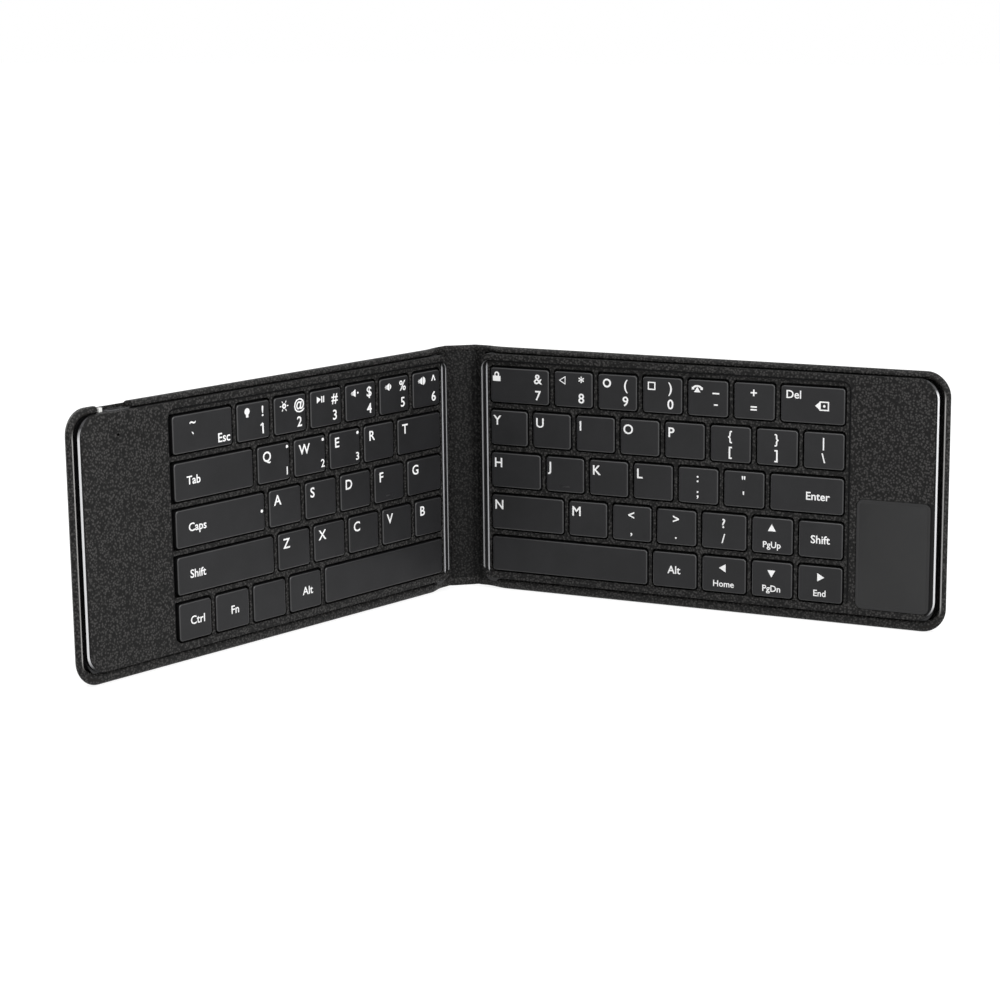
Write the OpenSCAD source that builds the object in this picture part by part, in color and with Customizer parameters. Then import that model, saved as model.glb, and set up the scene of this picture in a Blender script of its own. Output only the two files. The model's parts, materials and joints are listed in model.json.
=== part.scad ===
// Folding keyboard: two rigid halves in a leather cover, joined by a leather spine with two creases.
// It stands open like a book on its long front edge, with the keys facing -Y.
// Each half is drawn flat in panel coordinates: x runs from its crease to its outer edge,
// y is the depth behind the key face, and z rises from the standing edge.

/* [Fold] */
// Angle between the two key faces as the keyboard stands
opening_angle = 105; // [60:1:178]
// Width of the spine, from crease to crease
spine_width = 12; // [12:0.1:14]
// Depth of both creases behind the key face
crease_depth = 5.8; // [5.6:0.1:5.9]
// Slit in the stiff layers of the cover at each crease
crease_slit = 1.2; // [1.2:0.1:2]

/* [Panels] */
// Thickness of each half, leather included
panel_thickness = 6.2; // [6.2:0.1:7]
// Radius of the outer corners of the cover
corner_radius = 8.5; // [8:0.5:14]
// Thickness of the leather on the back
cover_leather = 0.8; // [0.6:0.1:0.8]
// Radius of the rounded back edge of the cover
back_round = 3.6; // [3.2:0.1:4]
// Width of the rolled hem round the cover
hem_width = 2; // [1.6:0.1:2]
// Depth of the hem's front behind the key face
hem_depth = 1.3; // [1:0.1:1.6]
// Chamfer on the hem's front
hem_chamfer = 0.6; // [0.4:0.1:0.7]
// Distance from the cover's outer edge to the frame
frame_margin_outer = 4.1; // [3.8:0.1:5]
// Distance from the cover's top and bottom edges to the frame
frame_margin_side = 2.3; // [2.3:0.1:2.6]
// Distance from the crease to the frame
frame_start = 4.7; // [4.5:0.1:4.9]
// Radius of the frame's outer corners
frame_corner = 7; // [6:0.5:7]

/* [Shells] */
// Thickness of the leather skin on the frame
skin_thickness = 0.6; // [0.5:0.1:0.7]
// Depth of the back of the frame behind the key face
frame_back = 1.9; // [1.8:0.1:2.1]
// Width of the raised lip at the frame's outer edge
lip_width = 0.9; // [0.8:0.1:1.2]
// Depth of the lip's front behind the key face
lip_depth = 0.15; // [0.1:0.05:0.3]
// Chamfer on the lip
lip_chamfer = 0.6; // [0.4:0.1:0.7]
// Wall of the base tray
tray_wall = 1.2; // [1:0.1:1.3]
// Floor of the base tray
tray_floor = 0.8; // [0.7:0.1:0.9]
// Height of the ribs between the tray's floor and the support plate
rib_height = 0.6; // [0.5:0.1:0.7]
// Width of those ribs
rib_width = 1; // [0.8:0.1:1.4]
// Gap between the leather skin and what it meets
skin_gap = 0.1; // [0.05:0.05:0.2]

/* [Keys] */
// Key pitch along a row
key_pitch = 17; // [15.5:0.1:19]
// Pitch from row to row
row_pitch = 15.53; // [14:0.01:19]
// Gap between caps along a row
key_gap = 1.7; // [1.5:0.1:2]
// Gap between rows of caps
row_gap = 2.1; // [1.8:0.1:2.4]
// Distance from the crease to the key field
field_start = 8.3; // [8.1:0.1:8.5]
// Distance from the standing edge to the key field
field_bottom = 6.8; // [6.4:0.1:7]
// Distance from the key field to the top edge of the cover
field_margin_top = 6.65; // [6.5:0.05:7]
// Length of the key field on the left half, in key pitches
left_field_pitches = 7.571; // [7.5:0.001:7.6]
// Length of the key field on the right half, in key pitches
right_field_pitches = 7.912; // [7.9:0.001:8]
// Depth of the cap tops behind the key face
key_recess = 0.2; // [0.1:0.05:0.4]
// Travel of a key
key_travel = 1; // [0.8:0.1:1.1]
// Thickness of a cap's top
cap_top = 0.8; // [0.7:0.1:0.9]
// Thickness of a cap's skirt
cap_wall = 0.9; // [0.7:0.1:1]
// Corner radius of a cap
cap_corner = 1.2; // [0.8:0.1:1.6]
// Width of the bevel round a cap's top
cap_bevel = 0.35; // [0.2:0.05:0.5]
// Radius of the plunger in the middle of a cap
plunger_radius = 1; // [0.8:0.1:1.2]
// Gap left under a fully pressed cap
press_gap = 0.1; // [0.1:0.05:0.2]
// Gap between a cap and the web round it
web_gap = 0.25; // [0.2:0.05:0.3]
// Depth of the web's front behind the key face
web_recess = 1.5; // [1.4:0.1:1.7]

/* [Key surround] */
// Gap between the key field and the surround
surround_gap = 0.6; // [0.5:0.1:0.7]
// Width of the surround beside the spine
surround_spine = 2.8; // [2.5:0.1:2.9]
// Width of the surround above the keys
surround_top = 1.4; // [1.2:0.1:1.6]
// Width of the surround below the keys
surround_bottom = 0.9; // [0.8:0.1:1.2]
// Width of the surround at the outer end of the keys
surround_outer = 0.6; // [0.5:0.1:0.8]
// Outer corner radius of the surround
surround_corner = 3.2; // [2.4:0.1:3.4]

/* [Switch layers] */
// Thickness of the switch membrane
membrane_thickness = 0.2; // [0.15:0.05:0.3]
// Thickness of the metal support plate
plate_thickness = 0.4; // [0.3:0.1:0.5]
// Gap between the plate and the tray's wall
plate_gap = 0.3; // [0.2:0.05:0.4]
// Reach of the plate and the membrane past the outer end of the keys
sheet_reach = 1.6; // [1.4:0.1:1.8]
// Corner radius of the plate and the membrane
sheet_corner = 1.6; // [1:0.1:2]
// Radius of a rubber dome at its foot
dome_radius = 2.6; // [2.2:0.1:2.8]
// Depth of a dome's top behind the key face
dome_top = 1.5; // [1.4:0.1:1.6]
// Wall of a rubber dome
dome_wall = 0.4; // [0.3:0.05:0.5]
// Width of a scissor pair
scissor_width = 9.8; // [9.4:0.1:10.2]
// Length of a scissor pair
scissor_length = 9; // [8.6:0.1:9.4]
// Width of a scissor's arms
scissor_arm = 0.6; // [0.5:0.05:0.7]
// Thickness of a scissor's arms
scissor_thickness = 0.5; // [0.4:0.05:0.55]
// Gap between a scissor's upper end and the cap
scissor_gap = 0.15; // [0.1:0.05:0.2]

/* [Touchpad] */
// Width of the touchpad
touchpad_width = 26.2; // [24:0.1:40]
// Height of the touchpad
touchpad_height = 38.2; // [34:0.1:44]
// Gap between the touchpad and the frame's outer lip
touchpad_edge_gap = 0.2; // [0.1:0.05:0.4]
// Gap between the touchpad and the surround of the keys
touchpad_side_gap = 2.3; // [1:0.1:6]
// Distance from the standing edge to the touchpad
touchpad_bottom = 6.2; // [6:0.1:8]
// Corner radius of the touchpad
touchpad_corner = 2.4; // [2.2:0.1:3]
// Depth of the touchpad's face behind the key face
touchpad_recess = 0.05; // [0.05:0.05:0.2]
// Ledge that carries the touchpad
touchpad_ledge = 1; // [0.8:0.1:1.4]

/* [Electronics] */
// Width of the charging socket
port_width = 8.94; // [8.94:0.01:9]
// Thickness of the charging socket
port_thickness = 3.26; // [3.2:0.01:3.3]
// Length of the charging socket
port_length = 6.9; // [6.5:0.1:7]
// Distance from the cover's outer edge to the middle of the charging socket
port_inset = 21.1; // [20.6:0.1:22]
// Depth of the middle of the charging socket behind the key face
port_depth = 3.3; // [3.2:0.05:3.4]
// How far the charging socket stands out of the tray
port_reach = 0.2; // [0.1:0.1:0.3]
// Wall of the charging socket's shell
port_wall = 0.3; // [0.25:0.05:0.35]
// Width of the tongue in the charging socket
tongue_width = 6.4; // [6.2:0.05:6.6]
// Thickness of that tongue
tongue_thickness = 0.7; // [0.6:0.05:0.8]
// Distance from the middle of the charging socket to the middle of the power switch
switch_offset = 6.2; // [6.1:0.1:7.5]
// Travel of the power switch
switch_travel = 1.5; // [1.2:0.1:1.5]
// Height of the housing of the power switch
housing_height = 4; // [3.6:0.1:4.4]
// Width of the switch knob
knob_width = 1.4; // [1.2:0.1:1.4]
// Depth of the front of the switch knob behind the key face
knob_front = 2.7; // [2.6:0.05:2.8]
// Thickness of the switch knob
knob_thickness = 1.2; // [1:0.1:1.4]
// How far the switch knob stands out of the tray
knob_reach = 1.3; // [1:0.1:1.5]
// Width of the foot that joins the knob to its contact
foot_width = 1.2; // [1:0.1:1.4]
// Gap between the notch in the hem and what shows in it
notch_gap = 0.6; // [0.6:0.1:0.8]
// Radius of the status light
light_radius = 0.5; // [0.4:0.05:0.6]
// Distance from the middle of the charging socket to the status light
light_offset = 1.7; // [0:0.1:2]
// Distance from the top edge of the cover to the status light
light_inset = 9.8; // [9.6:0.1:10.2]
// Thickness of the main board
board_thickness = 0.8; // [0.6:0.1:0.9]
// Gap between the main board and the tray's floor
board_lift = 0.5; // [0.4:0.1:0.6]
// Gap between the support plate and the main board and battery
board_side_gap = 1.5; // [0.5:0.1:4]
// Gap between the battery and the main board
board_battery_gap = 4; // [3:0.5:6]
// Height of the chips on the main board
chip_height = 0.9; // [0.7:0.1:1]
// Radius of the bosses under the main board
boss_radius = 1.4; // [1.2:0.1:1.6]
// Height of the battery
battery_height = 46; // [40:1:47]
// Distance from the standing edge to the battery
battery_bottom = 8; // [7:0.5:9]
// Thickness of the battery
battery_thickness = 2.4; // [2:0.1:2.4]
// Width of the battery's tabs
tab_width = 2.5; // [2:0.1:3]
// Length of a closing magnet along the outer edge
magnet_length = 10; // [8:0.5:11]
// Distance from the top edge of the cover to the upper closing magnet
magnet_inset = 9; // [8.5:0.5:14]
// Gap between the two closing magnets of a half
magnet_spacing = 8; // [4:1:20]
// Width of a closing magnet
magnet_width = 3; // [2:0.1:3]
// Thickness of a closing magnet
magnet_thickness = 2; // [1.5:0.1:2.2]
// Gap between pieces that sit side by side in a half
part_gap = 0.3; // [0.2:0.05:0.3]
// Distance from the ends of the key field to the outer screws
screw_inset = 4; // [3.5:0.1:5]
// Radius of a screw's shank
screw_radius = 0.6; // [0.5:0.05:0.7]
// Radius of a screw's head
screw_head = 1.1; // [1:0.05:1.2]
// Thickness of a screw's head
screw_head_height = 0.4; // [0.3:0.05:0.4]
// Gap round a screw's shank
screw_gap = 0.08; // [0.05:0.01:0.1]
// Gap between a screw's shank and the plate that holds it
screw_fit = 0.02; // [0.01:0.01:0.03]
// Wall of the bosses that take the screws
screw_boss_wall = 0.9; // [0.8:0.05:1]

/* [Spine] */
// Thickness of the leather lining between the halves
lining_thickness = 0.5; // [0.4:0.1:0.6]
// Height of the lining above the crease line
lining_lift = 1.75; // [1.7:0.05:1.9]
// Distance from the lining's ends to the top and the bottom of the spine
lining_inset = 0.6; // [0.4:0.1:1]
// Width of the ribbon cable
ribbon_width = 10; // [8:0.5:14]
// Thickness of the ribbon cable
ribbon_thickness = 0.12; // [0.1:0.02:0.2]
// Length of the ribbon cable inside each tray
ribbon_end = 1.2; // [1:0.1:1.5]
// Height of the ribbon cable above the crease line
ribbon_lift = 1.45; // [1.4:0.05:1.5]
// Height of the ribbon cable's middle above the standing edge
ribbon_height = 45; // [40:1:50]
// Thickness of the stiffener in the spine
stiffener_thickness = 0.35; // [0.3:0.05:0.4]
// Distance from each crease to the stiffener
stiffener_inset = 1.2; // [1.1:0.1:2]

/* [Hidden] */

// Key widths in each row, counted in key pitches from the spine; the last key fills the row
LEFT_ROWS = [
    [3.603, 1, 1, 1],
    [0.89, 1, 1, 1, 1],
    [1.104, 1, 1, 1, 1],
    [1.381, 1, 1, 1, 1],
    [0.897, 1, 1, 1, 1, 1]
];
RIGHT_ROWS = [
    [3.665, 1.1, 1.085, 1],
    [1.756, 1, 1, 1, 1.094, 1],
    [1.232, 1, 1, 1, 1, 1],
    [0.932, 1, 1, 1, 1, 1, 1],
    [1.436, 1, 1, 1, 1, 1]
];
BOTTOM_ROW = 0;
SHIFT_ROW = 1;
HOME_ROW = 2;
TOP_LETTER_ROW = 3;
NUMBER_ROW = 4;
rows = 5;
// A key wider than this many pitches rides on two scissor pairs
two_scissor_width = 2.6;

// Depth to which two joined shapes run into each other
weld = 0.1;
// How far a cut runs past what it cuts
cut = 1;
// Gap between pieces that fit into each other
fit_gap = 0.05;
// Gap on each side of a piece that passes through a slot
slot_gap = 0.15;

leather = "#26231f";
trim = "#2c2c2f";
cap_colour = "#38383b";
metal = "#9a9ca0";

bend = (180 - opening_angle) / 2;
key_height = row_pitch - row_gap;
field_top = field_bottom + rows * row_pitch - row_gap;
left_field_length = left_field_pitches * key_pitch;
right_field_length = right_field_pitches * key_pitch;
// Length of each half from its crease to its outer edge: margins, keys and touchpad of the right half
touchpad_start = field_start + right_field_length + surround_gap + surround_outer + touchpad_side_gap;
touchpad_end = touchpad_start + touchpad_width;
frame_end = touchpad_end + touchpad_edge_gap + lip_width;
panel_length = frame_end + frame_margin_outer;
// Height of each half as it stands
panel_height = field_top + field_margin_top;
cover_front = panel_thickness - cover_leather;
floor_front = cover_front - tray_floor;
plate_back = floor_front - rib_height;
plate_front = plate_back - plate_thickness;
membrane_front = plate_front - membrane_thickness;
web_back = membrane_front - fit_gap;
skirt_end = membrane_front - key_travel - press_gap;
cap_ceiling = key_recess + cap_top;
scissor_low = membrane_front - scissor_arm / 2;
scissor_high = cap_ceiling + scissor_arm / 2 + scissor_gap;
frame_bottom = frame_margin_side;
frame_top = panel_height - frame_margin_side;
frame_spine_corner = surround_corner;
lip_root = max(skin_thickness, lip_depth + lip_chamfer) + 2 * weld;
tray_start = frame_start + tray_wall;
tray_end = frame_end - tray_wall;
skin_end = frame_end - lip_width - skin_gap;
port_place = panel_length - port_inset;
switch_place = port_place + switch_offset;
light_place = port_place + light_offset;
light_height = panel_height - light_inset;
port_front = port_depth - port_thickness / 2;
port_top = frame_top + port_reach;
magnet_top = panel_height - magnet_inset - magnet_length;
magnet_places = [magnet_top - magnet_spacing - magnet_length, magnet_top];
magnet_end = tray_end - part_gap;
board_front = floor_front - board_lift - board_thickness;
board_start = field_start + left_field_length + sheet_reach + board_side_gap;
board_end = magnet_end - magnet_width - part_gap;
board_top = frame_top - tray_wall - part_gap;
battery_top = battery_bottom + battery_height;
board_bottom = battery_top + board_battery_gap;
housing_front = frame_back + fit_gap;
housing_wall = 0.3;
// Places of the chips from the board's inner and lower edges, and the side of each
CHIPS = [[4, 6, 6], [13, 5, 8]];
screw_rows = [1, 4];

// The creases' places seen from above, before the part is centred
left_crease = [-spine_width * cos(bend), crease_depth - spine_width * sin(bend)];
// Furthest reach of the left half towards -X, on the round back edge, and towards -Y, on the hem
round_x = -(panel_length - back_round) * cos(2 * bend);
round_y = -(panel_thickness - back_round - crease_depth) * sin(2 * bend);
reach_x = left_crease.x + round_x + round_y - back_round;
hem_y = (hem_depth + hem_chamfer - crease_depth) * cos(2 * bend);
reach_y = left_crease.y - panel_length * sin(2 * bend) + hem_y;
centre = [(reach_x + panel_length) / 2, (reach_y + panel_thickness) / 2];

$fn = 32;

// ---------- Placing ----------

module place_right() {
    translate([-centre.x, -centre.y, 0]) children();
}

module place_left() {
    translate([left_crease.x - centre.x, left_crease.y - centre.y, 0])
        rotate([0, 0, 2 * bend]) mirror([1, 0, 0]) translate([0, -crease_depth, 0]) children();
}

module place_spine() {
    translate([-centre.x, crease_depth - centre.y, 0]) rotate([0, 0, bend]) children();
}

// Raises a plan drawn in x and height to a slab between two depths
module slab(from, to) {
    translate([0, to, 0]) rotate([90, 0, 0]) linear_extrude(to - from) children();
}

// ---------- Outlines ----------

function arc(centre_point, radius, from, to, steps) = [
    for (i = [0:steps])
        let (a = from + (to - from) * i / steps)
            centre_point + radius * [cos(a), sin(a)]
];

function arc_steps(radius) = radius < 2 ? 3 : 8;

// Rectangle with one radius at its two inner corners and one at its two outer corners
module rounded_plan(x0, x1, z0, z1, inner, outer) {
    polygon(concat(
        arc([x1 - outer, z1 - outer], outer, 0, 90, arc_steps(outer)),
        arc([x0 + inner, z1 - inner], inner, 90, 180, arc_steps(inner)),
        arc([x0 + inner, z0 + inner], inner, 180, 270, arc_steps(inner)),
        arc([x1 - outer, z0 + outer], outer, 270, 360, arc_steps(outer))
    ));
}

module frame_plan(inset) {
    rounded_plan(frame_start + inset, frame_end - inset, frame_bottom + inset, frame_top - inset,
        frame_spine_corner - min(inset, 1), frame_corner - inset);
}

module field_plan(field_length, spine_side, outer_side, below, above, corner) {
    rounded_plan(field_start - spine_side, field_start + field_length + outer_side,
        field_bottom - below, field_top + above, corner, corner);
}

module surround_outer_plan(field_length, gap) {
    field_plan(field_length, surround_gap + surround_spine + gap,
        surround_gap + surround_outer + gap, surround_gap + surround_bottom + gap,
        surround_gap + surround_top + gap, surround_corner);
}

module surround_inner_plan(field_length, gap) {
    field_plan(field_length, surround_gap - gap, surround_gap - gap, surround_gap - gap,
        surround_gap - gap, cap_corner);
}

// Sweeps a profile, drawn as distance from the edge and depth, round three sides of a plate
module edge_sweep(profile, start, end, low, high, radius) {
    translate([0, 0, low + radius]) linear_extrude(high - low - 2 * radius)
        polygon([for (p = profile) [end - p.x, p.y]]);
    for (side = [[low, 1], [high, -1]])
        translate([end - radius, 0, 0]) rotate([0, -90, 0])
            linear_extrude(end - radius - start)
                polygon([for (p = profile) [side[0] + side[1] * p.x, p.y]]);
    for (corner = [[high - radius, 0], [low + radius, -90]])
        translate([end - radius, 0, corner[0]]) rotate([90, 0, 0]) rotate([0, 0, corner[1]])
            rotate_extrude(angle = 90, $fn = 48)
                polygon([for (p = profile) [radius - p.x, -p.y]]);
}

// ---------- Key layout ----------

function sum_to(widths, count) = count == 0 ? 0 : widths[count - 1] + sum_to(widths, count - 1);
function key_low(widths, i) = field_start + (i == 0 ? 0 : sum_to(widths, i) * key_pitch + key_gap / 2);
function key_high(widths, field_length, i) =
    field_start + (i == len(widths) ? field_length : sum_to(widths, i + 1) * key_pitch - key_gap / 2);
function row_low(row) = field_bottom + row * row_pitch;

module key_plan(widths, field_length, row, i, grow, corner) {
    rounded_plan(key_low(widths, i) - grow, key_high(widths, field_length, i) + grow,
        row_low(row) - grow, row_low(row) + key_height + grow, corner, corner);
}

// Runs its children at the middle of each key of a half; the key's width comes in $width
module at_keys(layout, field_length) {
    for (row = [0:rows - 1]) for (i = [0:len(layout[row])]) {
        low = key_low(layout[row], i);
        $width = key_high(layout[row], field_length, i) - low;
        translate([low + $width / 2, 0, row_low(row) + key_height / 2]) children();
    }
}

module keycap(widths, field_length, row, i) {
    middle = (key_low(widths, i) + key_high(widths, field_length, i)) / 2;
    difference() {
        union() {
            slab(key_recess, key_recess + cap_bevel)
                key_plan(widths, field_length, row, i, -cap_bevel, cap_corner - cap_bevel);
            slab(key_recess + cap_bevel, skirt_end)
                key_plan(widths, field_length, row, i, 0, cap_corner);
        }
        slab(cap_ceiling, skirt_end + cut)
            key_plan(widths, field_length, row, i, -cap_wall, cap_corner / 2);
    }
    translate([middle, 0, row_low(row) + key_height / 2])
        depth_cylinder(plunger_radius, cap_ceiling - 2 * weld, dome_top - fit_gap);
}

module key_run(layout, field_length, row, first, last) {
    color(cap_colour) for (i = [first:last]) keycap(layout[row], field_length, row, i);
}

module left_keys(row, first, last) {
    place_left() key_run(LEFT_ROWS, left_field_length, row, first, last);
}

module right_keys(row, first, last) {
    place_right() key_run(RIGHT_ROWS, right_field_length, row, first, last);
}

// ---------- Shells of a half ----------

function cover_profile() = concat(
    arc([back_round, panel_thickness - back_round], back_round, 90, 180, 6),
    [
        [0, hem_depth + hem_chamfer],
        [hem_chamfer, hem_depth],
        [hem_width - hem_chamfer, hem_depth],
        [hem_width, hem_depth + hem_chamfer],
        [hem_width, cover_front],
        [back_round, cover_front]
    ]
);

// Leather cover: a flat back, a rolled hem on three sides and a flat strip up to the crease
module cover() {
    flat_inset = back_round - 4 * weld;
    color(leather) {
        edge_sweep(cover_profile(), frame_start, panel_length, 0, panel_height, corner_radius);
        slab(cover_front, panel_thickness)
            rounded_plan(frame_start, panel_length - flat_inset, flat_inset, panel_height - flat_inset,
                weld, corner_radius - flat_inset);
        slab(cover_front, panel_thickness)
            translate([crease_slit / 2, 0]) square([frame_start - crease_slit / 2 + weld, panel_height]);
    }
}

// Places of the screws: one at each end of the field and one in its middle, on two rows
module at_screws(field_length) {
    for (row = screw_rows) for (x = [screw_inset, field_length / 2, field_length - screw_inset])
        translate([field_start + x, 0, row_low(row) - row_gap / 2]) children();
}

module depth_cylinder(radius, from, to) {
    translate([0, to, 0]) rotate([90, 0, 0]) cylinder(r = radius, h = to - from);
}

// Moulded tray with ribs that carry the plate and bosses that take the screws
module tray(field_length) {
    difference() {
        union() {
            difference() {
                slab(frame_back, cover_front) frame_plan(0);
                slab(frame_back - cut, floor_front) frame_plan(tray_wall);
            }
            for (row = [0:rows]) translate([tray_start - weld, plate_back, rib_place(row)])
                cube([field_length, rib_height + weld, rib_width]);
            at_screws(field_length)
                depth_cylinder(screw_head + screw_boss_wall, plate_back, floor_front + weld);
        }
        at_screws(field_length) {
            depth_cylinder(screw_radius + screw_gap, plate_back - cut, cover_front + cut);
            depth_cylinder(screw_head + screw_gap, cover_front - screw_head_height, cover_front + cut);
        }
        ribbon_slot();
    }
}

// Slot in the tray's wall for the ribbon cable
module ribbon_slot() {
    translate([frame_start - cut, crease_depth - ribbon_lift - ribbon_thickness - slot_gap,
            ribbon_height - ribbon_width / 2 - slot_gap])
        cube([tray_wall + 2 * cut, ribbon_thickness + 2 * slot_gap, ribbon_width + 2 * slot_gap]);
}

function rib_place(row) =
    row == 0 ? field_bottom : row == rows ? field_top - rib_width : row_low(row) - row_gap / 2 - rib_width / 2;

function lip_profile() = [
    [0, lip_depth + lip_chamfer],
    [lip_chamfer, lip_depth],
    [lip_width, lip_depth],
    [lip_width, lip_root],
    [0, lip_root]
];

// Moulded front frame with the raised surround of the keys and a raised outer lip
module frame(field_length) {
    difference() {
        union() {
            slab(skin_thickness, frame_back) frame_plan(0);
            slab(0, skin_thickness + weld) surround_outer_plan(field_length, 0);
            edge_sweep(lip_profile(), frame_start + surround_corner, frame_end, frame_bottom,
                frame_top, frame_corner);
        }
        slab(-cut, frame_back + cut) surround_inner_plan(field_length, 0);
    }
}

module skin(field_length) {
    difference() {
        slab(0, skin_thickness)
            rounded_plan(frame_start + surround_corner, skin_end, frame_bottom + lip_width + skin_gap,
                frame_top - lip_width - skin_gap, 0.5, frame_corner - lip_width);
        slab(-cut, skin_thickness + cut) surround_outer_plan(field_length, skin_gap);
    }
}

// ---------- Key web and switch layers ----------

module key_web(layout, field_length) {
    difference() {
        slab(web_recess, web_back) surround_inner_plan(field_length, skin_gap);
        slab(web_recess - cut, web_back + cut) for (row = [0:rows - 1]) for (i = [0:len(layout[row])])
            key_plan(layout[row], field_length, row, i, web_gap, cap_corner);
    }
}

module switch_sheet(field_length, from, to, hole) {
    difference() {
        slab(from, to) rounded_plan(tray_start + plate_gap, field_start + field_length + sheet_reach,
            frame_bottom + tray_wall + plate_gap, frame_top - tray_wall - plate_gap,
            sheet_corner, sheet_corner);
        at_screws(field_length) depth_cylinder(hole, from - cut, to + cut);
    }
}

module plate(field_length) {
    color(metal) switch_sheet(field_length, plate_front, plate_back, screw_radius + screw_fit);
}

module membrane(field_length) {
    color("#c9c2a6") switch_sheet(field_length, membrane_front, plate_front, screw_radius + 5 * screw_gap);
}

module dome() {
    foot = membrane_front;
    height = foot - dome_top;
    top = dome_radius / 2;
    translate([0, foot, 0]) rotate([90, 0, 0]) difference() {
        cylinder(r1 = dome_radius, r2 = top, h = height);
        translate([0, 0, -fit_gap])
            cylinder(r1 = dome_radius - dome_wall, r2 = top - dome_wall / 2, h = height - dome_wall);
    }
}

module domes(layout, field_length) {
    color("#b8b8b2") at_keys(layout, field_length) dome();
}

// One leg of a scissor pair: two arms and two bars, leaning by the lift between its ends
module scissor_leg(width, lean) {
    tilt = atan2(scissor_low - scissor_high, scissor_length) * lean;
    rotate([tilt, 0, 0]) {
        for (side = [-1, 1]) translate([side * (width - scissor_arm) / 2, 0, 0])
            cube([scissor_arm, scissor_thickness, scissor_length], center = true);
        for (end = [-1, 1]) translate([0, 0, end * (scissor_length - scissor_arm) / 2])
            cube([width, scissor_thickness, scissor_arm], center = true);
    }
}

// Two legs that cross, with a pivot pin through each side
module scissor_pair() {
    pin_radius = scissor_thickness * 0.4;
    pin_length = 3 * scissor_arm + 2 * slot_gap;
    translate([0, (scissor_low + scissor_high) / 2, 0]) {
        scissor_leg(scissor_width, 1);
        scissor_leg(scissor_width - 2 * (scissor_arm + 2 * slot_gap), -1);
        for (side = [-1, 1]) translate([side * (scissor_width - pin_length) / 2, 0, 0])
            rotate([0, 90, 0]) cylinder(r = pin_radius, h = pin_length, center = true);
    }
}

module scissors(layout, field_length) {
    color("#dcdcd8") at_keys(layout, field_length) {
        if ($width > two_scissor_width * key_pitch)
            for (side = [-1, 1]) translate([side * $width / 4, 0, 0]) scissor_pair();
        else scissor_pair();
    }
}

// ---------- Fasteners and magnets ----------

module screws(field_length) {
    color(metal) at_screws(field_length) {
        depth_cylinder(screw_radius, plate_front, cover_front - weld);
        depth_cylinder(screw_head, cover_front - screw_head_height, cover_front);
    }
}

module magnets() {
    color(metal) for (z = magnet_places)
        translate([magnet_end - magnet_width, floor_front - magnet_thickness, z])
            cube([magnet_width, magnet_thickness, magnet_length]);
}

// ---------- Right half ----------

module touchpad_plan(inset) {
    rounded_plan(touchpad_start + inset, touchpad_end - inset, touchpad_bottom + inset,
        touchpad_bottom + touchpad_height - inset, touchpad_corner, touchpad_corner);
}

module right_cover() { place_right() cover(); }
module right_tray() { color(trim) place_right() tray(right_field_length); }

module right_frame() {
    color(trim) place_right() difference() {
        frame(right_field_length);
        slab(-cut, frame_back + cut) touchpad_plan(touchpad_ledge);
    }
}

module right_skin() {
    color(leather) place_right() difference() {
        skin(right_field_length);
        slab(-cut, skin_thickness + cut) touchpad_plan(-skin_gap);
    }
}

module right_key_web() { color(leather) place_right() key_web(RIGHT_ROWS, right_field_length); }
module right_plate() { place_right() plate(right_field_length); }
module right_membrane() { place_right() membrane(right_field_length); }
module right_domes() { place_right() domes(RIGHT_ROWS, right_field_length); }
module right_scissors() { place_right() scissors(RIGHT_ROWS, right_field_length); }
module right_magnets() { place_right() magnets(); }
module right_screws() { place_right() screws(right_field_length); }
module touchpad() { color("#3b3b3b") place_right() slab(touchpad_recess, skin_thickness) touchpad_plan(0); }

module touchpad_board() {
    color("#1f5a3a") place_right() slab(skin_thickness, frame_back)
        touchpad_plan(touchpad_ledge + part_gap);
}

// ---------- Left half ----------

// Box round the charging socket, grown by a gap
module port_box(gap) {
    translate([port_place - port_width / 2 - gap, port_front - gap, port_top - port_length - gap])
        cube([port_width + 2 * gap, port_thickness + 2 * gap, port_length + 2 * gap]);
}

// Space that the switch knob moves through
module knob_slot() {
    translate([switch_place - knob_width / 2 - slot_gap, knob_front - slot_gap, frame_top - tray_wall - cut])
        cube([knob_width + switch_travel + 2 * slot_gap, knob_thickness + 2 * slot_gap, tray_wall + 2 * cut]);
}

// Notch in the hem, over the socket and the switch
module hem_notch() {
    start = port_place - port_width / 2 - notch_gap;
    end = switch_place + switch_travel + knob_width / 2 + notch_gap;
    floor = port_front + port_thickness + 2 * fit_gap;
    translate([start, hem_depth - cut, panel_height - hem_width - 2 * weld])
        cube([end - start, floor - hem_depth + cut, hem_width + cut]);
}

module left_cover() {
    place_left() color(leather) difference() {
        cover();
        hem_notch();
    }
}

// Places of the bosses that carry the main board
module at_board_bosses() {
    for (x = [board_start + 2 * boss_radius, board_end - 2 * boss_radius])
        for (z = [board_bottom + 2 * boss_radius, port_top - port_length - 4 * boss_radius])
            translate([x, 0, z]) children();
}

module left_tray() {
    color(trim) place_left() difference() {
        union() {
            tray(left_field_length);
            at_board_bosses()
                depth_cylinder(boss_radius, board_front + board_thickness, floor_front + weld);
        }
        port_box(fit_gap);
        translate([0, 0, cut]) port_box(fit_gap);
        knob_slot();
    }
}

module light_hole(from, to) {
    translate([light_place, 0, light_height]) depth_cylinder(light_radius + fit_gap, from, to);
}

module left_frame() {
    color(trim) place_left() difference() {
        frame(left_field_length);
        port_box(fit_gap);
        light_hole(-cut, frame_back + cut);
    }
}

module left_skin() {
    color(leather) place_left() difference() {
        skin(left_field_length);
        light_hole(-cut, skin_thickness + cut);
    }
}

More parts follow.
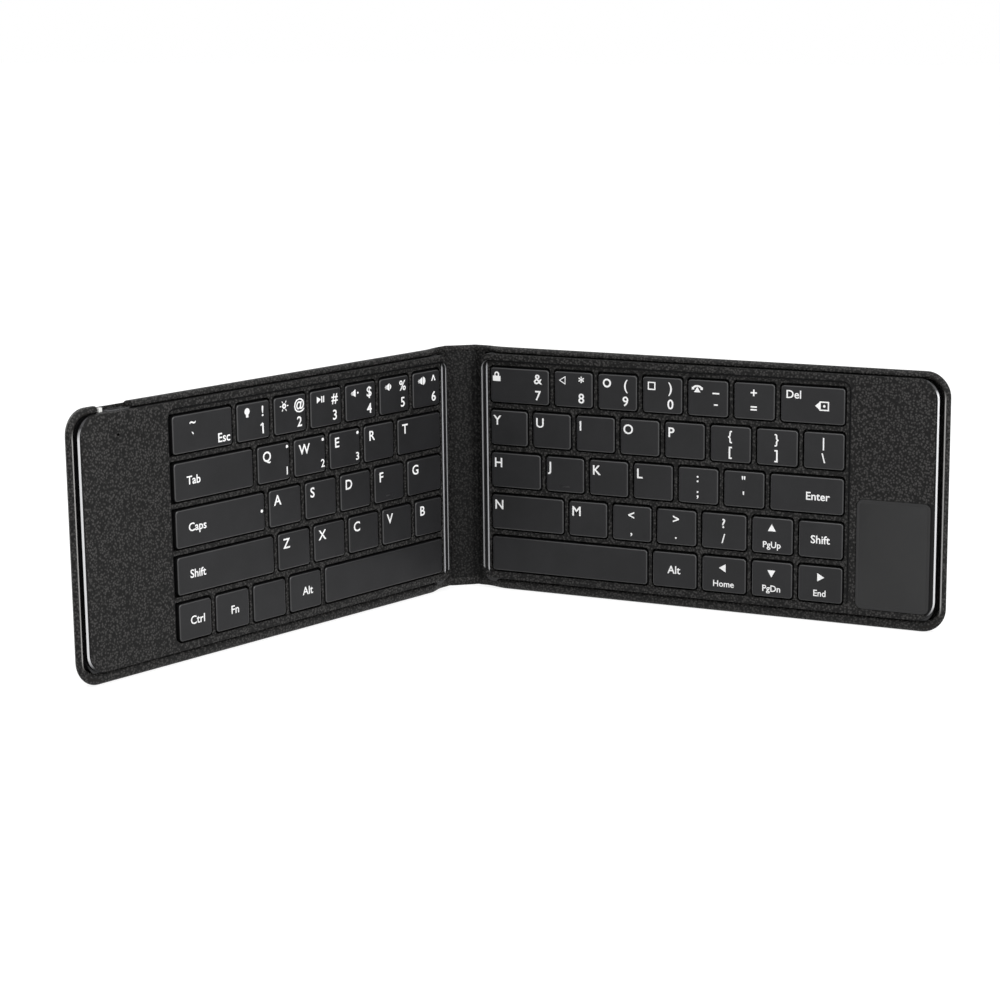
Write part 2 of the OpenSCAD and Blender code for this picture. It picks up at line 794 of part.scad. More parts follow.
module left_key_web() { color(leather) place_left() key_web(LEFT_ROWS, left_field_length); }
module left_plate() { place_left() plate(left_field_length); }
module left_membrane() { place_left() membrane(left_field_length); }
module left_domes() { place_left() domes(LEFT_ROWS, left_field_length); }
module left_scissors() { place_left() scissors(LEFT_ROWS, left_field_length); }
module left_magnets() { place_left() magnets(); }
module left_screws() { place_left() screws(left_field_length); }

// Housing of the power switch on the board, open towards the knob
module switch_housing() {
    low = board_top - housing_height;
    inner_start = switch_place - foot_width / 2 - housing_wall;
    inner_width = foot_width + switch_travel + 2 * housing_wall;
    difference() {
        translate([inner_start - housing_wall, housing_front, low])
            cube([inner_width + 2 * housing_wall, board_front - housing_front + weld, housing_height]);
        translate([inner_start, housing_front + housing_wall, low + housing_wall])
            cube([inner_width, board_front - housing_front - 2 * housing_wall, housing_height]);
    }
}

module main_board() {
    color("#1f5a3a") place_left() difference() {
        intersection() {
            union() {
                translate([board_start, board_front, board_bottom])
                    cube([board_end - board_start, board_thickness, board_top - board_bottom]);
                switch_housing();
                for (chip = CHIPS)
                    translate([board_start + chip[0], board_front - chip_height, board_bottom + chip[1]])
                        cube([chip[2], chip_height + weld, chip[2]]);
            }
            slab(frame_back, floor_front) frame_plan(tray_wall + part_gap);
        }
        port_box(fit_gap);
    }
}

// Pouch of the battery with its two tabs, which run under the main board
module battery() {
    color("#b9bcc2") place_left() {
        translate([board_start, floor_front - battery_thickness, battery_bottom])
            cube([board_end - board_start, battery_thickness, battery_height]);
        for (x = [2, 5])
            translate([board_start + x * tab_width, floor_front - board_lift + weld, battery_top - weld])
                cube([tab_width, board_lift - 2 * weld, board_bottom - battery_top + tab_width]);
    }
}

// Charging socket: a shell with its mouth upwards and a tongue in its middle
module usb_port() {
    end_radius = port_thickness / 2;
    back_wall = 3 * port_wall;
    color(metal) place_left() {
        difference() {
            port_box(0);
            translate([port_place - port_width / 2 + end_radius, port_depth,
                    port_top - port_length + back_wall])
                port_hollow(port_width - 2 * end_radius, end_radius - port_wall, port_length);
        }
        translate([port_place - tongue_width / 2, port_depth - tongue_thickness / 2,
                port_top - port_length + back_wall - weld])
            cube([tongue_width, tongue_thickness, port_length - 2 * back_wall]);
    }
}

// Hollow of the socket: a slot with round ends
module port_hollow(span, radius, length) {
    translate([0, -radius, 0]) cube([span, 2 * radius, length]);
    for (x = [0, span]) translate([x, 0, 0]) cylinder(r = radius, h = length);
}

// Sliding knob of the power switch: a tab that stands out, and a foot that reaches into the housing
module power_switch() {
    knob_low = board_top + fit_gap;
    foot_front = housing_front + housing_wall + fit_gap;
    foot_back = board_front - housing_wall - fit_gap;
    foot_low = board_top - housing_height + 2 * housing_wall;
    color("#e8e8e6") place_left() {
        translate([switch_place - knob_width / 2, knob_front, knob_low])
            cube([knob_width, knob_thickness, frame_top + knob_reach - knob_low]);
        translate([switch_place - foot_width / 2, foot_front, foot_low])
            cube([foot_width, foot_back - foot_front, knob_low + fit_gap - foot_low]);
    }
}

module status_light() {
    color("#dfe8f0") place_left() translate([light_place, 0, light_height])
        depth_cylinder(light_radius, lip_depth, board_front);
}

// ---------- Spine ----------

// Mitred strip seen from above: it follows both creases at a height above the crease line
function strip_side(lift, reach) = [
    [reach, crease_depth - lift],
    [0, crease_depth] + lift / cos(bend / 2) * [sin(bend / 2), -cos(bend / 2)],
    left_crease + lift / cos(bend / 2) * [sin(1.5 * bend), -cos(1.5 * bend)],
    left_crease - reach * [cos(2 * bend), sin(2 * bend)] + lift * [sin(2 * bend), -cos(2 * bend)]
];

module mitred_strip(lift, thickness, reach, low, high) {
    top = strip_side(lift + thickness, reach);
    translate([-centre.x, -centre.y, low]) linear_extrude(high - low)
        polygon(concat(strip_side(lift, reach), [for (i = [3:-1:0]) top[i]]));
}

module spine_cover() {
    color(leather) place_spine()
        translate([-spine_width + crease_slit / 2, cover_front - crease_depth, 0])
            cube([spine_width - crease_slit, cover_leather, panel_height]);
}

module spine_lining() {
    color(leather) mitred_strip(lining_lift, lining_thickness, frame_start - skin_gap, lining_inset,
        panel_height - lining_inset);
}

module spine_stiffener() {
    color("#6b5a45") place_spine()
        translate([-spine_width + stiffener_inset, cover_front - crease_depth - stiffener_thickness,
                stiffener_inset])
            cube([spine_width - 2 * stiffener_inset, stiffener_thickness, panel_height - 2 * stiffener_inset]);
}

module ribbon_cable() {
    color("#b5651d") mitred_strip(ribbon_lift, ribbon_thickness, tray_start + ribbon_end,
        ribbon_height - ribbon_width / 2, ribbon_height + ribbon_width / 2);
}

right_cover();
right_tray();
right_frame();
right_skin();
right_key_web();
right_plate();
right_membrane();
right_domes();
right_scissors();
right_magnets();
right_screws();
touchpad();
touchpad_board();
left_cover();
left_tray();
left_frame();
left_skin();
left_key_web();
left_plate();
left_membrane();
left_domes();
left_scissors();
left_magnets();
left_screws();
main_board();
battery();
usb_port();
power_switch();
status_light();
spine_cover();
spine_lining();
spine_stiffener();
ribbon_cable();
left_keys(NUMBER_ROW, 6, 6);  // escape_key
left_keys(NUMBER_ROW, 0, 5);  // number_keys_left
left_keys(TOP_LETTER_ROW, 5, 5);  // tab_key
left_keys(TOP_LETTER_ROW, 0, 4);  // top_letter_keys_left
left_keys(HOME_ROW, 5, 5);  // caps_key
left_keys(HOME_ROW, 0, 4);  // home_letter_keys_left
left_keys(SHIFT_ROW, 5, 5);  // left_shift_key
left_keys(SHIFT_ROW, 0, 4);  // bottom_letter_keys_left
left_keys(BOTTOM_ROW, 4, 4);  // control_key
left_keys(BOTTOM_ROW, 3, 3);  // function_key
left_keys(BOTTOM_ROW, 2, 2);  // system_key
left_keys(BOTTOM_ROW, 1, 1);  // left_alt_key
left_keys(BOTTOM_ROW, 0, 0);  // left_space_key
right_keys(NUMBER_ROW, 0, 5);  // number_keys_right
right_keys(NUMBER_ROW, 6, 6);  // backspace_key
right_keys(TOP_LETTER_ROW, 0, 7);  // top_letter_keys_right
right_keys(HOME_ROW, 0, 5);  // home_letter_keys_right
right_keys(HOME_ROW, 6, 6);  // enter_key
right_keys(SHIFT_ROW, 0, 4);  // bottom_letter_keys_right
right_keys(SHIFT_ROW, 5, 5);  // up_key
right_keys(SHIFT_ROW, 6, 6);  // right_shift_key
right_keys(BOTTOM_ROW, 0, 0);  // right_space_key
right_keys(BOTTOM_ROW, 1, 1);  // right_alt_key
right_keys(BOTTOM_ROW, 2, 2);  // left_arrow_key
right_keys(BOTTOM_ROW, 3, 3);  // down_key
right_keys(BOTTOM_ROW, 4, 4);  // right_arrow_key
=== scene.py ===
"""Looks of the folding keyboard: leather covers, metal frames, keycaps, legends and the studio round them.

Each half is modelled flat in panel coordinates, in millimetres: x runs from the half's crease to its outer
edge, y is the depth behind the key face, and z rises from the standing edge. A finished mesh is then placed
in the frame of the part, in metres.
"""

import json
import logging
import math
from collections.abc import Callable, Iterator, Sequence
from contextlib import contextmanager
from dataclasses import dataclass, field
from enum import Enum

import bmesh
import bpy
from mathutils import Matrix, Vector


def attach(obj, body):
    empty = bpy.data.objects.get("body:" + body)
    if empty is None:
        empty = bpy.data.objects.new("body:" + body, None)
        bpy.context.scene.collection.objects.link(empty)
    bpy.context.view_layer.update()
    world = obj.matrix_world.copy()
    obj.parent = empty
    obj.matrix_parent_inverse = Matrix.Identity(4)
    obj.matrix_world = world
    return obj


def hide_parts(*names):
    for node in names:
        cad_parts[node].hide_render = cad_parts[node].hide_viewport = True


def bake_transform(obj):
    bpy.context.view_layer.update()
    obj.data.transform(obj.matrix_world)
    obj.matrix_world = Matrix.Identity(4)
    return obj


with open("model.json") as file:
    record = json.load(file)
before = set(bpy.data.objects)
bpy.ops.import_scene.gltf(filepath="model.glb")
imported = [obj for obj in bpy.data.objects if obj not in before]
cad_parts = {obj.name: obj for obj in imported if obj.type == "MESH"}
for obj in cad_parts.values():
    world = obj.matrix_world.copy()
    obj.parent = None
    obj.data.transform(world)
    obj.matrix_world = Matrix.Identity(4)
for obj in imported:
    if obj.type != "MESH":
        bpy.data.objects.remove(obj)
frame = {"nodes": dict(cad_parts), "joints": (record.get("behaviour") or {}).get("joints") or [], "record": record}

LOG = logging.getLogger("folding_keyboard")
MM = 0.001
Point = tuple[float, float, float]
Colour = tuple[float, float, float]
Pair = tuple[float, float]
Edges = tuple[float, float, float, float]
Rule = Callable[[Vector, Vector], bool]
# A direction lies along an axis when its share of that axis is greater than this.
ALONG = 0.9
# A point lies on a plane when it is nearer to it than this, in millimetres.
NEAR = 0.1
# A width or a tolerance too small to be seen, in millimetres.
HAIR = 0.01


# ---------- Placing ----------


class Side(Enum):
    """The two halves of the keyboard."""

    RIGHT = "right"
    LEFT = "left"


@dataclass(frozen=True)
class Panel:
    """Sizes that both halves share, in millimetres.

    Attributes:
        length: From the crease to the outer edge.
        height: Height of the cover.
        thickness: Depth of the cover's back.
        crease_depth: Depth of the crease.
        corner_radius: Radius of the cover's outer corners.
        frame_start: Panel x where the front frame starts.
        frame_end: Panel x where it ends.
        frame_top: Height of its upper edge.
        frame_back: Depth of its back.
        frame_corner: Radius of its outer corners.
        skin_thickness: Thickness of the leather on its front.
    """

    length: float = 177.7
    height: float = 89.0
    thickness: float = 6.2
    crease_depth: float = 5.8
    corner_radius: float = 8.5
    frame_start: float = 4.7
    frame_end: float = 174.1
    frame_top: float = 86.7
    frame_back: float = 1.9
    frame_corner: float = 7.0
    skin_thickness: float = 0.6


PANEL = Panel()
STATUS_LIGHT = (158.3, 79.2)


@dataclass(frozen=True)
class Half:
    """One half of the keyboard and its place in the part's frame.

    Attributes:
        side: Which half it is.
        crease: The crease seen from above, in metres.
        turn: Turn of the half about the vertical, in radians.
    """

    side: Side
    crease: Pair
    turn: float

    @property
    def body(self) -> str:
        """Name of the body that this half's pieces ride on."""
        return f"{self.side.value}_half"

    @property
    def seen(self) -> int:
        """1 where panel x grows to the right as the keys are read, or -1 where it grows to the left."""
        return 1 if self.side is Side.RIGHT else -1

    @property
    def matrix(self) -> Matrix:
        """Turns panel coordinates in millimetres into the part's frame in metres."""
        to_crease = Matrix.Translation((*self.crease, 0.0))
        turn = Matrix.Rotation(self.turn, 4, "Z")
        mirror = Matrix.Diagonal((self.seen, 1.0, 1.0, 1.0))
        from_crease = Matrix.Translation((0.0, -PANEL.crease_depth, 0.0))
        return to_crease @ turn @ Matrix.Scale(MM, 4) @ mirror @ from_crease

    def point(self, x: float, y: float, z: float) -> Point:
        """A point in panel coordinates, given in the part's frame."""
        return tuple(self.matrix @ Vector((x, y, z)))


@dataclass(frozen=True)
class Creases:
    """The two creases of the spine, as the joints give them."""

    right: Pair
    left: Pair

    @classmethod
    def from_joints(cls, joints: Sequence[dict]) -> "Creases":
        """Reads the creases from the frame.

        Args:
            joints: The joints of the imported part.

        Returns:
            The creases, seen from above, in metres.
        """
        creases = {joint["name"]: tuple(joint["pos_m"][:2]) for joint in joints
                   if "crease_fold" in joint["name"]}
        return cls(right=creases["right_crease_fold"], left=creases["left_crease_fold"])

    @property
    def bend(self) -> float:
        """Turn of the spine at each crease as the keyboard stands, in radians."""
        return math.atan2(self.right[1] - self.left[1], self.right[0] - self.left[0])

    @property
    def width(self) -> float:
        """Width of the spine between the creases, in millimetres."""
        return math.dist(self.right, self.left) / MM

    def halves(self) -> tuple[Half, Half]:
        """The right half and the left half."""
        return Half(Side.RIGHT, self.right, 0.0), Half(Side.LEFT, self.left, 2 * self.bend)


# ---------- Modelling by hand ----------


class Pick(Enum):
    """What an edit-mode operator works on: the select mode as the tool settings and as a mesh name it."""

    VERTICES = ((True, False, False), "VERT")
    EDGES = ((False, True, False), "EDGE")
    FACES = ((False, False, True), "FACE")


def select_only(*objects: bpy.types.Object) -> None:
    """Selects these objects and nothing else, with the first one active."""
    bpy.ops.object.select_all(action="DESELECT")
    for item in objects:
        item.select_set(True)
    bpy.context.view_layer.objects.active = objects[0]


@contextmanager
def editing(item: bpy.types.Object) -> Iterator[None]:
    """Holds an object in edit mode with nothing in it selected.

    Args:
        item: The mesh object.
    """
    select_only(item)
    bpy.ops.object.mode_set(mode="EDIT")
    bpy.ops.mesh.select_all(action="DESELECT")
    try:
        yield
    finally:
        bpy.ops.object.mode_set(mode="OBJECT")


def pick(item: bpy.types.Object, kind: Pick, rule: Rule) -> int:
    """Selects parts of a mesh in edit mode by their place.

    Args:
        item: The mesh object in edit mode.
        kind: Vertices, edges or faces.
        rule: Takes the place and the direction (normal, or run of an edge) and says whether to select.

    Returns:
        How many were selected.
    """
    bpy.context.tool_settings.mesh_select_mode = kind.value[0]
    mesh = bmesh.from_edit_mesh(item.data)
    for group in (mesh.verts, mesh.edges, mesh.faces):
        for element in group:
            element.select = False
    mesh.select_mode = {kind.value[1]}
    if kind is Pick.VERTICES:
        found = [v for v in mesh.verts if rule(v.co, v.normal)]
    elif kind is Pick.EDGES:
        found = [e for e in mesh.edges if rule(middle_of(e), run_of(e))]
    else:
        found = [f for f in mesh.faces if rule(f.calc_center_median(), f.normal)]
    for element in found:
        element.select_set(True)
    bmesh.update_edit_mesh(item.data)
    return len(found)


def middle_of(edge: bmesh.types.BMEdge) -> Vector:
    """The middle of an edge."""
    return (edge.verts[0].co + edge.verts[1].co) / 2


def run_of(edge: bmesh.types.BMEdge) -> Vector:
    """The direction of an edge."""
    return (edge.verts[1].co - edge.verts[0].co).normalized()


def add_object(operator: Callable[..., set[str]], **settings: object) -> bpy.types.Object:
    """Adds an object by one of Blender's operators.

    Args:
        operator: The operator.
        settings: What it is told.

    Returns:
        The new object, the only one that is selected.
    """
    bpy.ops.object.select_all(action="DESELECT")
    operator(**settings)
    return bpy.context.object


def add_block(name: str, low: Point, high: Point) -> bpy.types.Object:
    """Adds a block between two corners.

    Args:
        name: Name of the new object.
        low: Lowest corner.
        high: Highest corner.

    Returns:
        The new object, with its place in its mesh.
    """
    middle = [(a + b) / 2 for a, b in zip(low, high)]
    block = add_object(bpy.ops.mesh.primitive_cube_add, size=1, location=middle)
    block.name = name
    block.scale = [b - a for a, b in zip(low, high)]
    bpy.ops.object.transform_apply(location=True, rotation=True, scale=True)
    return block


def round_edges(item: bpy.types.Object, rule: Rule, radius: float, segments: int) -> None:
    """Rounds the edges that a rule selects, in edit mode.

    Args:
        item: The mesh object in edit mode.
        rule: Selects the edges.
        radius: Radius of the rounding.
        segments: Number of faces across it.
    """
    if pick(item, Pick.EDGES, rule) == 0:
        raise ValueError(f"{item.name}: no edge to round")
    bpy.ops.mesh.bevel(offset=radius, segments=segments, affect="EDGES", profile=0.5, clamp_overlap=False)


def add_rounded(name: str, low: Point, high: Point, radius: float, segments: int) -> bpy.types.Object:
    """Adds a block whose four corners are round as it is seen from the front.

    Args:
        name: Name of the new object.
        low: Lowest corner.
        high: Highest corner.
        radius: Radius of the corners.
        segments: Number of faces round each of them.

    Returns:
        The new object.
    """
    block = add_block(name, low, high)
    with editing(block):
        round_edges(block, lambda at, run: abs(run.y) > ALONG, radius, segments)
    return block


def step_in(steps: Sequence[Pair]) -> None:
    """Insets the selected face again and again.

    Args:
        steps: For each inset, its width and how far the face then rises.
    """
    for width, rise in steps:
        bpy.ops.mesh.inset(thickness=width, depth=rise, use_even_offset=True)


def bead_steps(width: float, height: float, count: int) -> list[Pair]:
    """Steps over a half-round bead, for step_in.

    Args:
        width: Width of the bead.
        height: Height of the bead.
        count: Number of steps.

    Returns:
        The steps from its foot over its crest to its other foot.
    """
    angles = [math.pi * i / count for i in range(count + 1)]
    across = [width / 2 * (1 - math.cos(a)) for a in angles]
    up = [height * math.sin(a) for a in angles]
    return [(across[i + 1] - across[i], up[i + 1] - up[i]) for i in range(count)]


def cut_at(item: bpy.types.Object, x: float, keep_low: bool = True, keep_high: bool = True) -> None:
    """Cuts a mesh by a plane across x, in edit mode.

    Args:
        item: The mesh object in edit mode.
        x: Place of the plane.
        keep_low: Keep what lies below the plane.
        keep_high: Keep what lies above the plane.
    """
    bpy.ops.mesh.select_all(action="SELECT")
    bpy.ops.mesh.bisect(
        plane_co=(x, 0, 0), plane_no=(1, 0, 0), use_fill=not (keep_low and keep_high),
        clear_inner=not keep_low, clear_outer=not keep_high, threshold=1e-5,
    )


def copy_of(item: bpy.types.Object, name: str) -> bpy.types.Object:
    """A copy of an object with its own mesh."""
    twin = item.copy()
    twin.data = item.data.copy()
    twin.name = name
    bpy.context.collection.objects.link(twin)
    return twin


def carve(item: bpy.types.Object, tool: bpy.types.Object) -> None:
    """Cuts one closed shape out of another and deletes the tool.

    Args:
        item: What is cut.
        tool: The shape that is taken away.
    """
    select_only(item)
    cutter = item.modifiers.new("cut", "BOOLEAN")
    cutter.operation = "DIFFERENCE"
    cutter.solver = "EXACT"
    cutter.object = tool
    bpy.ops.object.modifier_apply(modifier=cutter.name)
    bpy.data.objects.remove(tool)


def join(name: str, items: Sequence[bpy.types.Object]) -> bpy.types.Object:
    """Joins objects into one.

    Args:
        name: Name of the result.
        items: The objects.

    Returns:
        The joined object.
    """
    select_only(*items)
    if len(items) > 1:
        bpy.ops.object.join()
    items[0].name = name
    return items[0]


def place(item: bpy.types.Object, half: Half) -> bpy.types.Object:
    """Moves a finished mesh from panel coordinates into the part's frame.

    Args:
        item: The mesh object, in panel coordinates.
        half: The half that it belongs to.

    Returns:
        The same object.
    """
    item.data.transform(half.matrix)
    if half.seen < 0:
        item.data.flip_normals()
    return item


def smooth(item: bpy.types.Object, degrees: float = 35.0) -> None:
    """Shades a mesh smooth where its faces meet at less than an angle."""
    select_only(item)
    bpy.ops.object.shade_smooth_by_angle(angle=math.radians(degrees))


# ---------- Finishes ----------


def add_node(tree: bpy.types.NodeTree, kind: str, links: dict[str | int, bpy.types.NodeSocket],
             operation: str = "", **values: object) -> bpy.types.Node:
    """Adds a node, links some of its inputs and sets others.

    Args:
        tree: The nodes of a material or of the world.
        kind: Its type, without the words that all these types start with.
        links: What is linked to its inputs, by their names or numbers.
        operation: What a mathematical node does.
        values: Values of inputs, named with underscores for blanks.

    Returns:
        The new node.
    """
    node = tree.nodes.new(f"ShaderNode{kind}")
    if operation:
        node.operation = operation
    for name, source in links.items():
        tree.links.new(source, node.inputs[name])
    for name, value in values.items():
        node.inputs[name.replace("_", " ")].default_value = value
    return node


class Graph:
    """A material's nodes, with short calls to add and link them."""

    def __init__(self, name: str) -> None:
        """Starts a material that has a shader and an output."""
        self.material = bpy.data.materials.new(name)
        self.material.use_nodes = True
        self.tree = self.material.node_tree
        self.shader = self.tree.nodes["Principled BSDF"]
        self.coordinates = add_node(self.tree, "TexCoord", {}).outputs["Object"]

    def set(self, **values: object) -> None:
        """Sets sockets of the shader, named with underscores for blanks."""
        for name, value in values.items():
            self.shader.inputs[name.replace("_", " ")].default_value = value

    def link(self, source: bpy.types.NodeSocket, socket: str) -> None:
        """Links a socket to one of the shader's."""
        self.tree.links.new(source, self.shader.inputs[socket])

    def noise(self, scale: float, detail: float = 2.0, stretch: Point = (1, 1, 1)) -> bpy.types.NodeSocket:
        """Adds a noise texture.

        Args:
            scale: Cells per metre.
            detail: Octaves of the noise.
            stretch: Factors on the coordinates.

        Returns:
            Its value.
        """
        mapping = add_node(self.tree, "Mapping", {"Vector": self.coordinates}, Scale=stretch)
        node = add_node(self.tree, "TexNoise", {"Vector": mapping.outputs["Vector"]}, Scale=scale,
                        Detail=detail)
        return node.outputs["Fac"]

    def pebbles(self, scale: float, warp: float) -> bpy.types.NodeSocket:
        """Adds round cells that are bent by a noise.

        Args:
            scale: Cells per metre.
            warp: How far the noise moves the cells, in metres.

        Returns:
            The distance from each cell's middle.
        """
        bend = add_node(self.tree, "TexNoise", {"Vector": self.coordinates}, Scale=scale / 2)
        move = add_node(self.tree, "VectorMath", {0: bend.outputs["Color"], 2: self.coordinates},
                        "MULTIPLY_ADD")
        move.inputs[1].default_value = (warp, warp, warp)
        cells = add_node(self.tree, "TexVoronoi", {"Vector": move.outputs["Vector"]}, Scale=scale)
        cells.feature = "SMOOTH_F1"
        cells.inputs["Smoothness"].default_value = 0.35
        return cells.outputs["Distance"]

    def ramp(self, source: bpy.types.NodeSocket, low: Colour, high: Colour, start: float, end: float) -> None:
        """Colours the shader by a value.

        Args:
            source: The value.
            low: Colour at and below start.
            high: Colour at and above end.
            start: Lowest value.
            end: Highest value.
        """
        node = add_node(self.tree, "ValToRGB", {"Fac": source})
        for element, position, colour in zip(node.color_ramp.elements, (start, end), (low, high)):
            element.position = position
            element.color = (*colour, 1)
        self.link(node.outputs["Color"], "Base Color")

    def spread(self, source: bpy.types.NodeSocket, low: float, high: float) -> bpy.types.NodeSocket:
        """Maps a value from 0 to 1 onto another range."""
        node = add_node(self.tree, "MapRange", {"Value": source}, To_Min=low, To_Max=high)
        return node.outputs["Result"]

    def bump(self, height: bpy.types.NodeSocket, strength: float, distance: float) -> None:
        """Adds relief on top of any that is there.

        Args:
            height: The height.
            strength: Strength of the relief.
            distance: Real height in metres.
        """
        node = add_node(self.tree, "Bump", {"Height": height}, Strength=strength, Distance=distance)
        normal = self.shader.inputs["Normal"]
        if normal.is_linked:
            self.tree.links.new(normal.links[0].from_socket, node.inputs["Normal"])
        self.link(node.outputs["Normal"], "Normal")


@dataclass(frozen=True)
class Leather:
    """Pebbled leather: small raised grains with darker valleys.

    Attributes:
        name: Name of the material.
        valley: Colour between the grains.
        crown: Colour on top of them.
        grains: Grains per metre.
        depth: Their height in metres.
        crown_end: Distance from a grain's middle where its top ends, in the texture's units.
        valley_start: Distance where the valley starts.
        roughness: How dull the tops and the valleys are.
        specular: Strength of the highlights.
        warp: How far the grains are pushed out of round, in metres.
        unevenness: Cells per metre, strength and height of the slow waves below the grains.
    """

    name: str
    valley: Colour
    crown: Colour
    grains: float = 1250.0
    depth: float = 0.0002
    crown_end: float = 0.2
    valley_start: float = 0.56
    roughness: Pair = (0.46, 0.66)
    specular: float = 0.2
    warp: float = 0.0004
    unevenness: tuple[float, float, float] = (60, 0.12, 0.0006)

    def build(self) -> bpy.types.Material:
        """Makes the material."""
        graph = Graph(self.name)
        grain = graph.pebbles(self.grains, self.warp)
        graph.ramp(grain, self.crown, self.valley, self.crown_end, self.valley_start)
        graph.link(graph.spread(grain, *self.roughness), "Roughness")
        graph.bump(graph.noise(self.grains * 5, 3), 0.15, self.depth / 3)
        graph.bump(graph.spread(grain, 1.0, 0.0), 1.0, self.depth)
        waves, strength, height = self.unevenness
        graph.bump(graph.noise(waves), strength, height)
        graph.set(Specular_IOR_Level=self.specular)
        return graph.material


@dataclass(frozen=True)
class Plastic:
    """Moulded plastic with a fine texture and a little unevenness in colour.

    Attributes:
        name: Name of the material.
        colour: Its mean colour.
        roughness: How dull it is.
        texture: Cells of its texture per metre.
        relief: Strength of the texture.
        variation: How far the colour varies, as a share.
        coat: Weight of a glossy coat.
        specular: Strength of the highlights.
    """

    name: str
    colour: Colour
    roughness: float
    texture: float = 5200.0
    relief: float = 0.12
    variation: float = 0.12
    coat: float = 0.0
    specular: float = 0.5

    def build(self) -> bpy.types.Material:
        """Makes the material."""
        graph = Graph(self.name)
        low = tuple(c * (1 - self.variation) for c in self.colour)
        high = tuple(min(1.0, c * (1 + self.variation)) for c in self.colour)
        graph.ramp(graph.noise(90, 3), low, high, 0.35, 0.65)
        fine = graph.noise(self.texture, 3)
        graph.link(graph.spread(fine, self.roughness - 0.06, self.roughness + 0.06), "Roughness")
        graph.bump(fine, self.relief, 0.00004)
        graph.set(Specular_IOR_Level=self.specular)
        if self.coat:
            graph.set(Coat_Weight=self.coat, Coat_Roughness=0.12)
        return graph.material


@dataclass(frozen=True)
class Metal:
    """Metal with fine tool marks along one direction.

    Attributes:
        name: Name of the material.
        colour: Its colour.
        roughness: How dull it is.
        marks: Factors on the coordinates, which draw the marks out along one axis.
        relief: Strength of the marks.
    """

    name: str
    colour: Colour
    roughness: float
    marks: Point = (1.0, 1.0, 0.06)
    relief: float = 0.08

    def build(self) -> bpy.types.Material:
        """Makes the material."""
        graph = Graph(self.name)
        marks = graph.noise(4200, 3, self.marks)
        dark = tuple(c * 0.88 for c in self.colour)
        graph.ramp(marks, dark, self.colour, 0.3, 0.7)
        graph.link(graph.spread(marks, self.roughness - 0.05, self.roughness + 0.07), "Roughness")
        graph.bump(marks, self.relief, 0.00003)
        graph.set(Metallic=1.0)
        return graph.material


@dataclass(frozen=True)
class CutEdgeWithPaintedShade:
    """Bright cut edge of metal with painted shade: its colour fades to black towards the top and the bottom of the
    keyboard.

    Attributes:
        name: Name of the material.
        bright: Colour over the middle of the height.
        dark: Colour of the painted shade at both ends.
        roughness: How dull the metal is.
        ends: Heights where the painted shade is darkest and where the edge is fully bright, above the standing
            edge, in metres.
    """

    name: str
    bright: Colour
    dark: Colour = (0.03, 0.03, 0.031)
    roughness: float = 0.3
    ends: Pair = (0.0058, 0.0095)

    def build(self) -> bpy.types.Material:
        """Makes the material."""
        graph = Graph(self.name)
        # Painted shade: the colour darkens by height towards the keyboard's top and bottom edges.
        parts = add_node(graph.tree, "SeparateXYZ", {"Vector": graph.coordinates})
        height = PANEL.height * MM
        low_end, high_end = (
            add_node(graph.tree, "MapRange", {"Value": parts.outputs["Z"]}, From_Min=dark, From_Max=bright)
            for dark, bright in (self.ends, (height - self.ends[0], height - self.ends[1]))
        )
        both = add_node(graph.tree, "Math", {0: low_end.outputs["Result"], 1: high_end.outputs["Result"]},
                        "MULTIPLY")
        graph.ramp(both.outputs["Value"], self.dark, self.bright, 0.0, 1.0)
        marks = graph.noise(4200, 3, (1.0, 1.0, 0.06))
        graph.link(graph.spread(marks, self.roughness - 0.06, self.roughness + 0.06), "Roughness")
        graph.set(Metallic=1.0)
        return graph.material


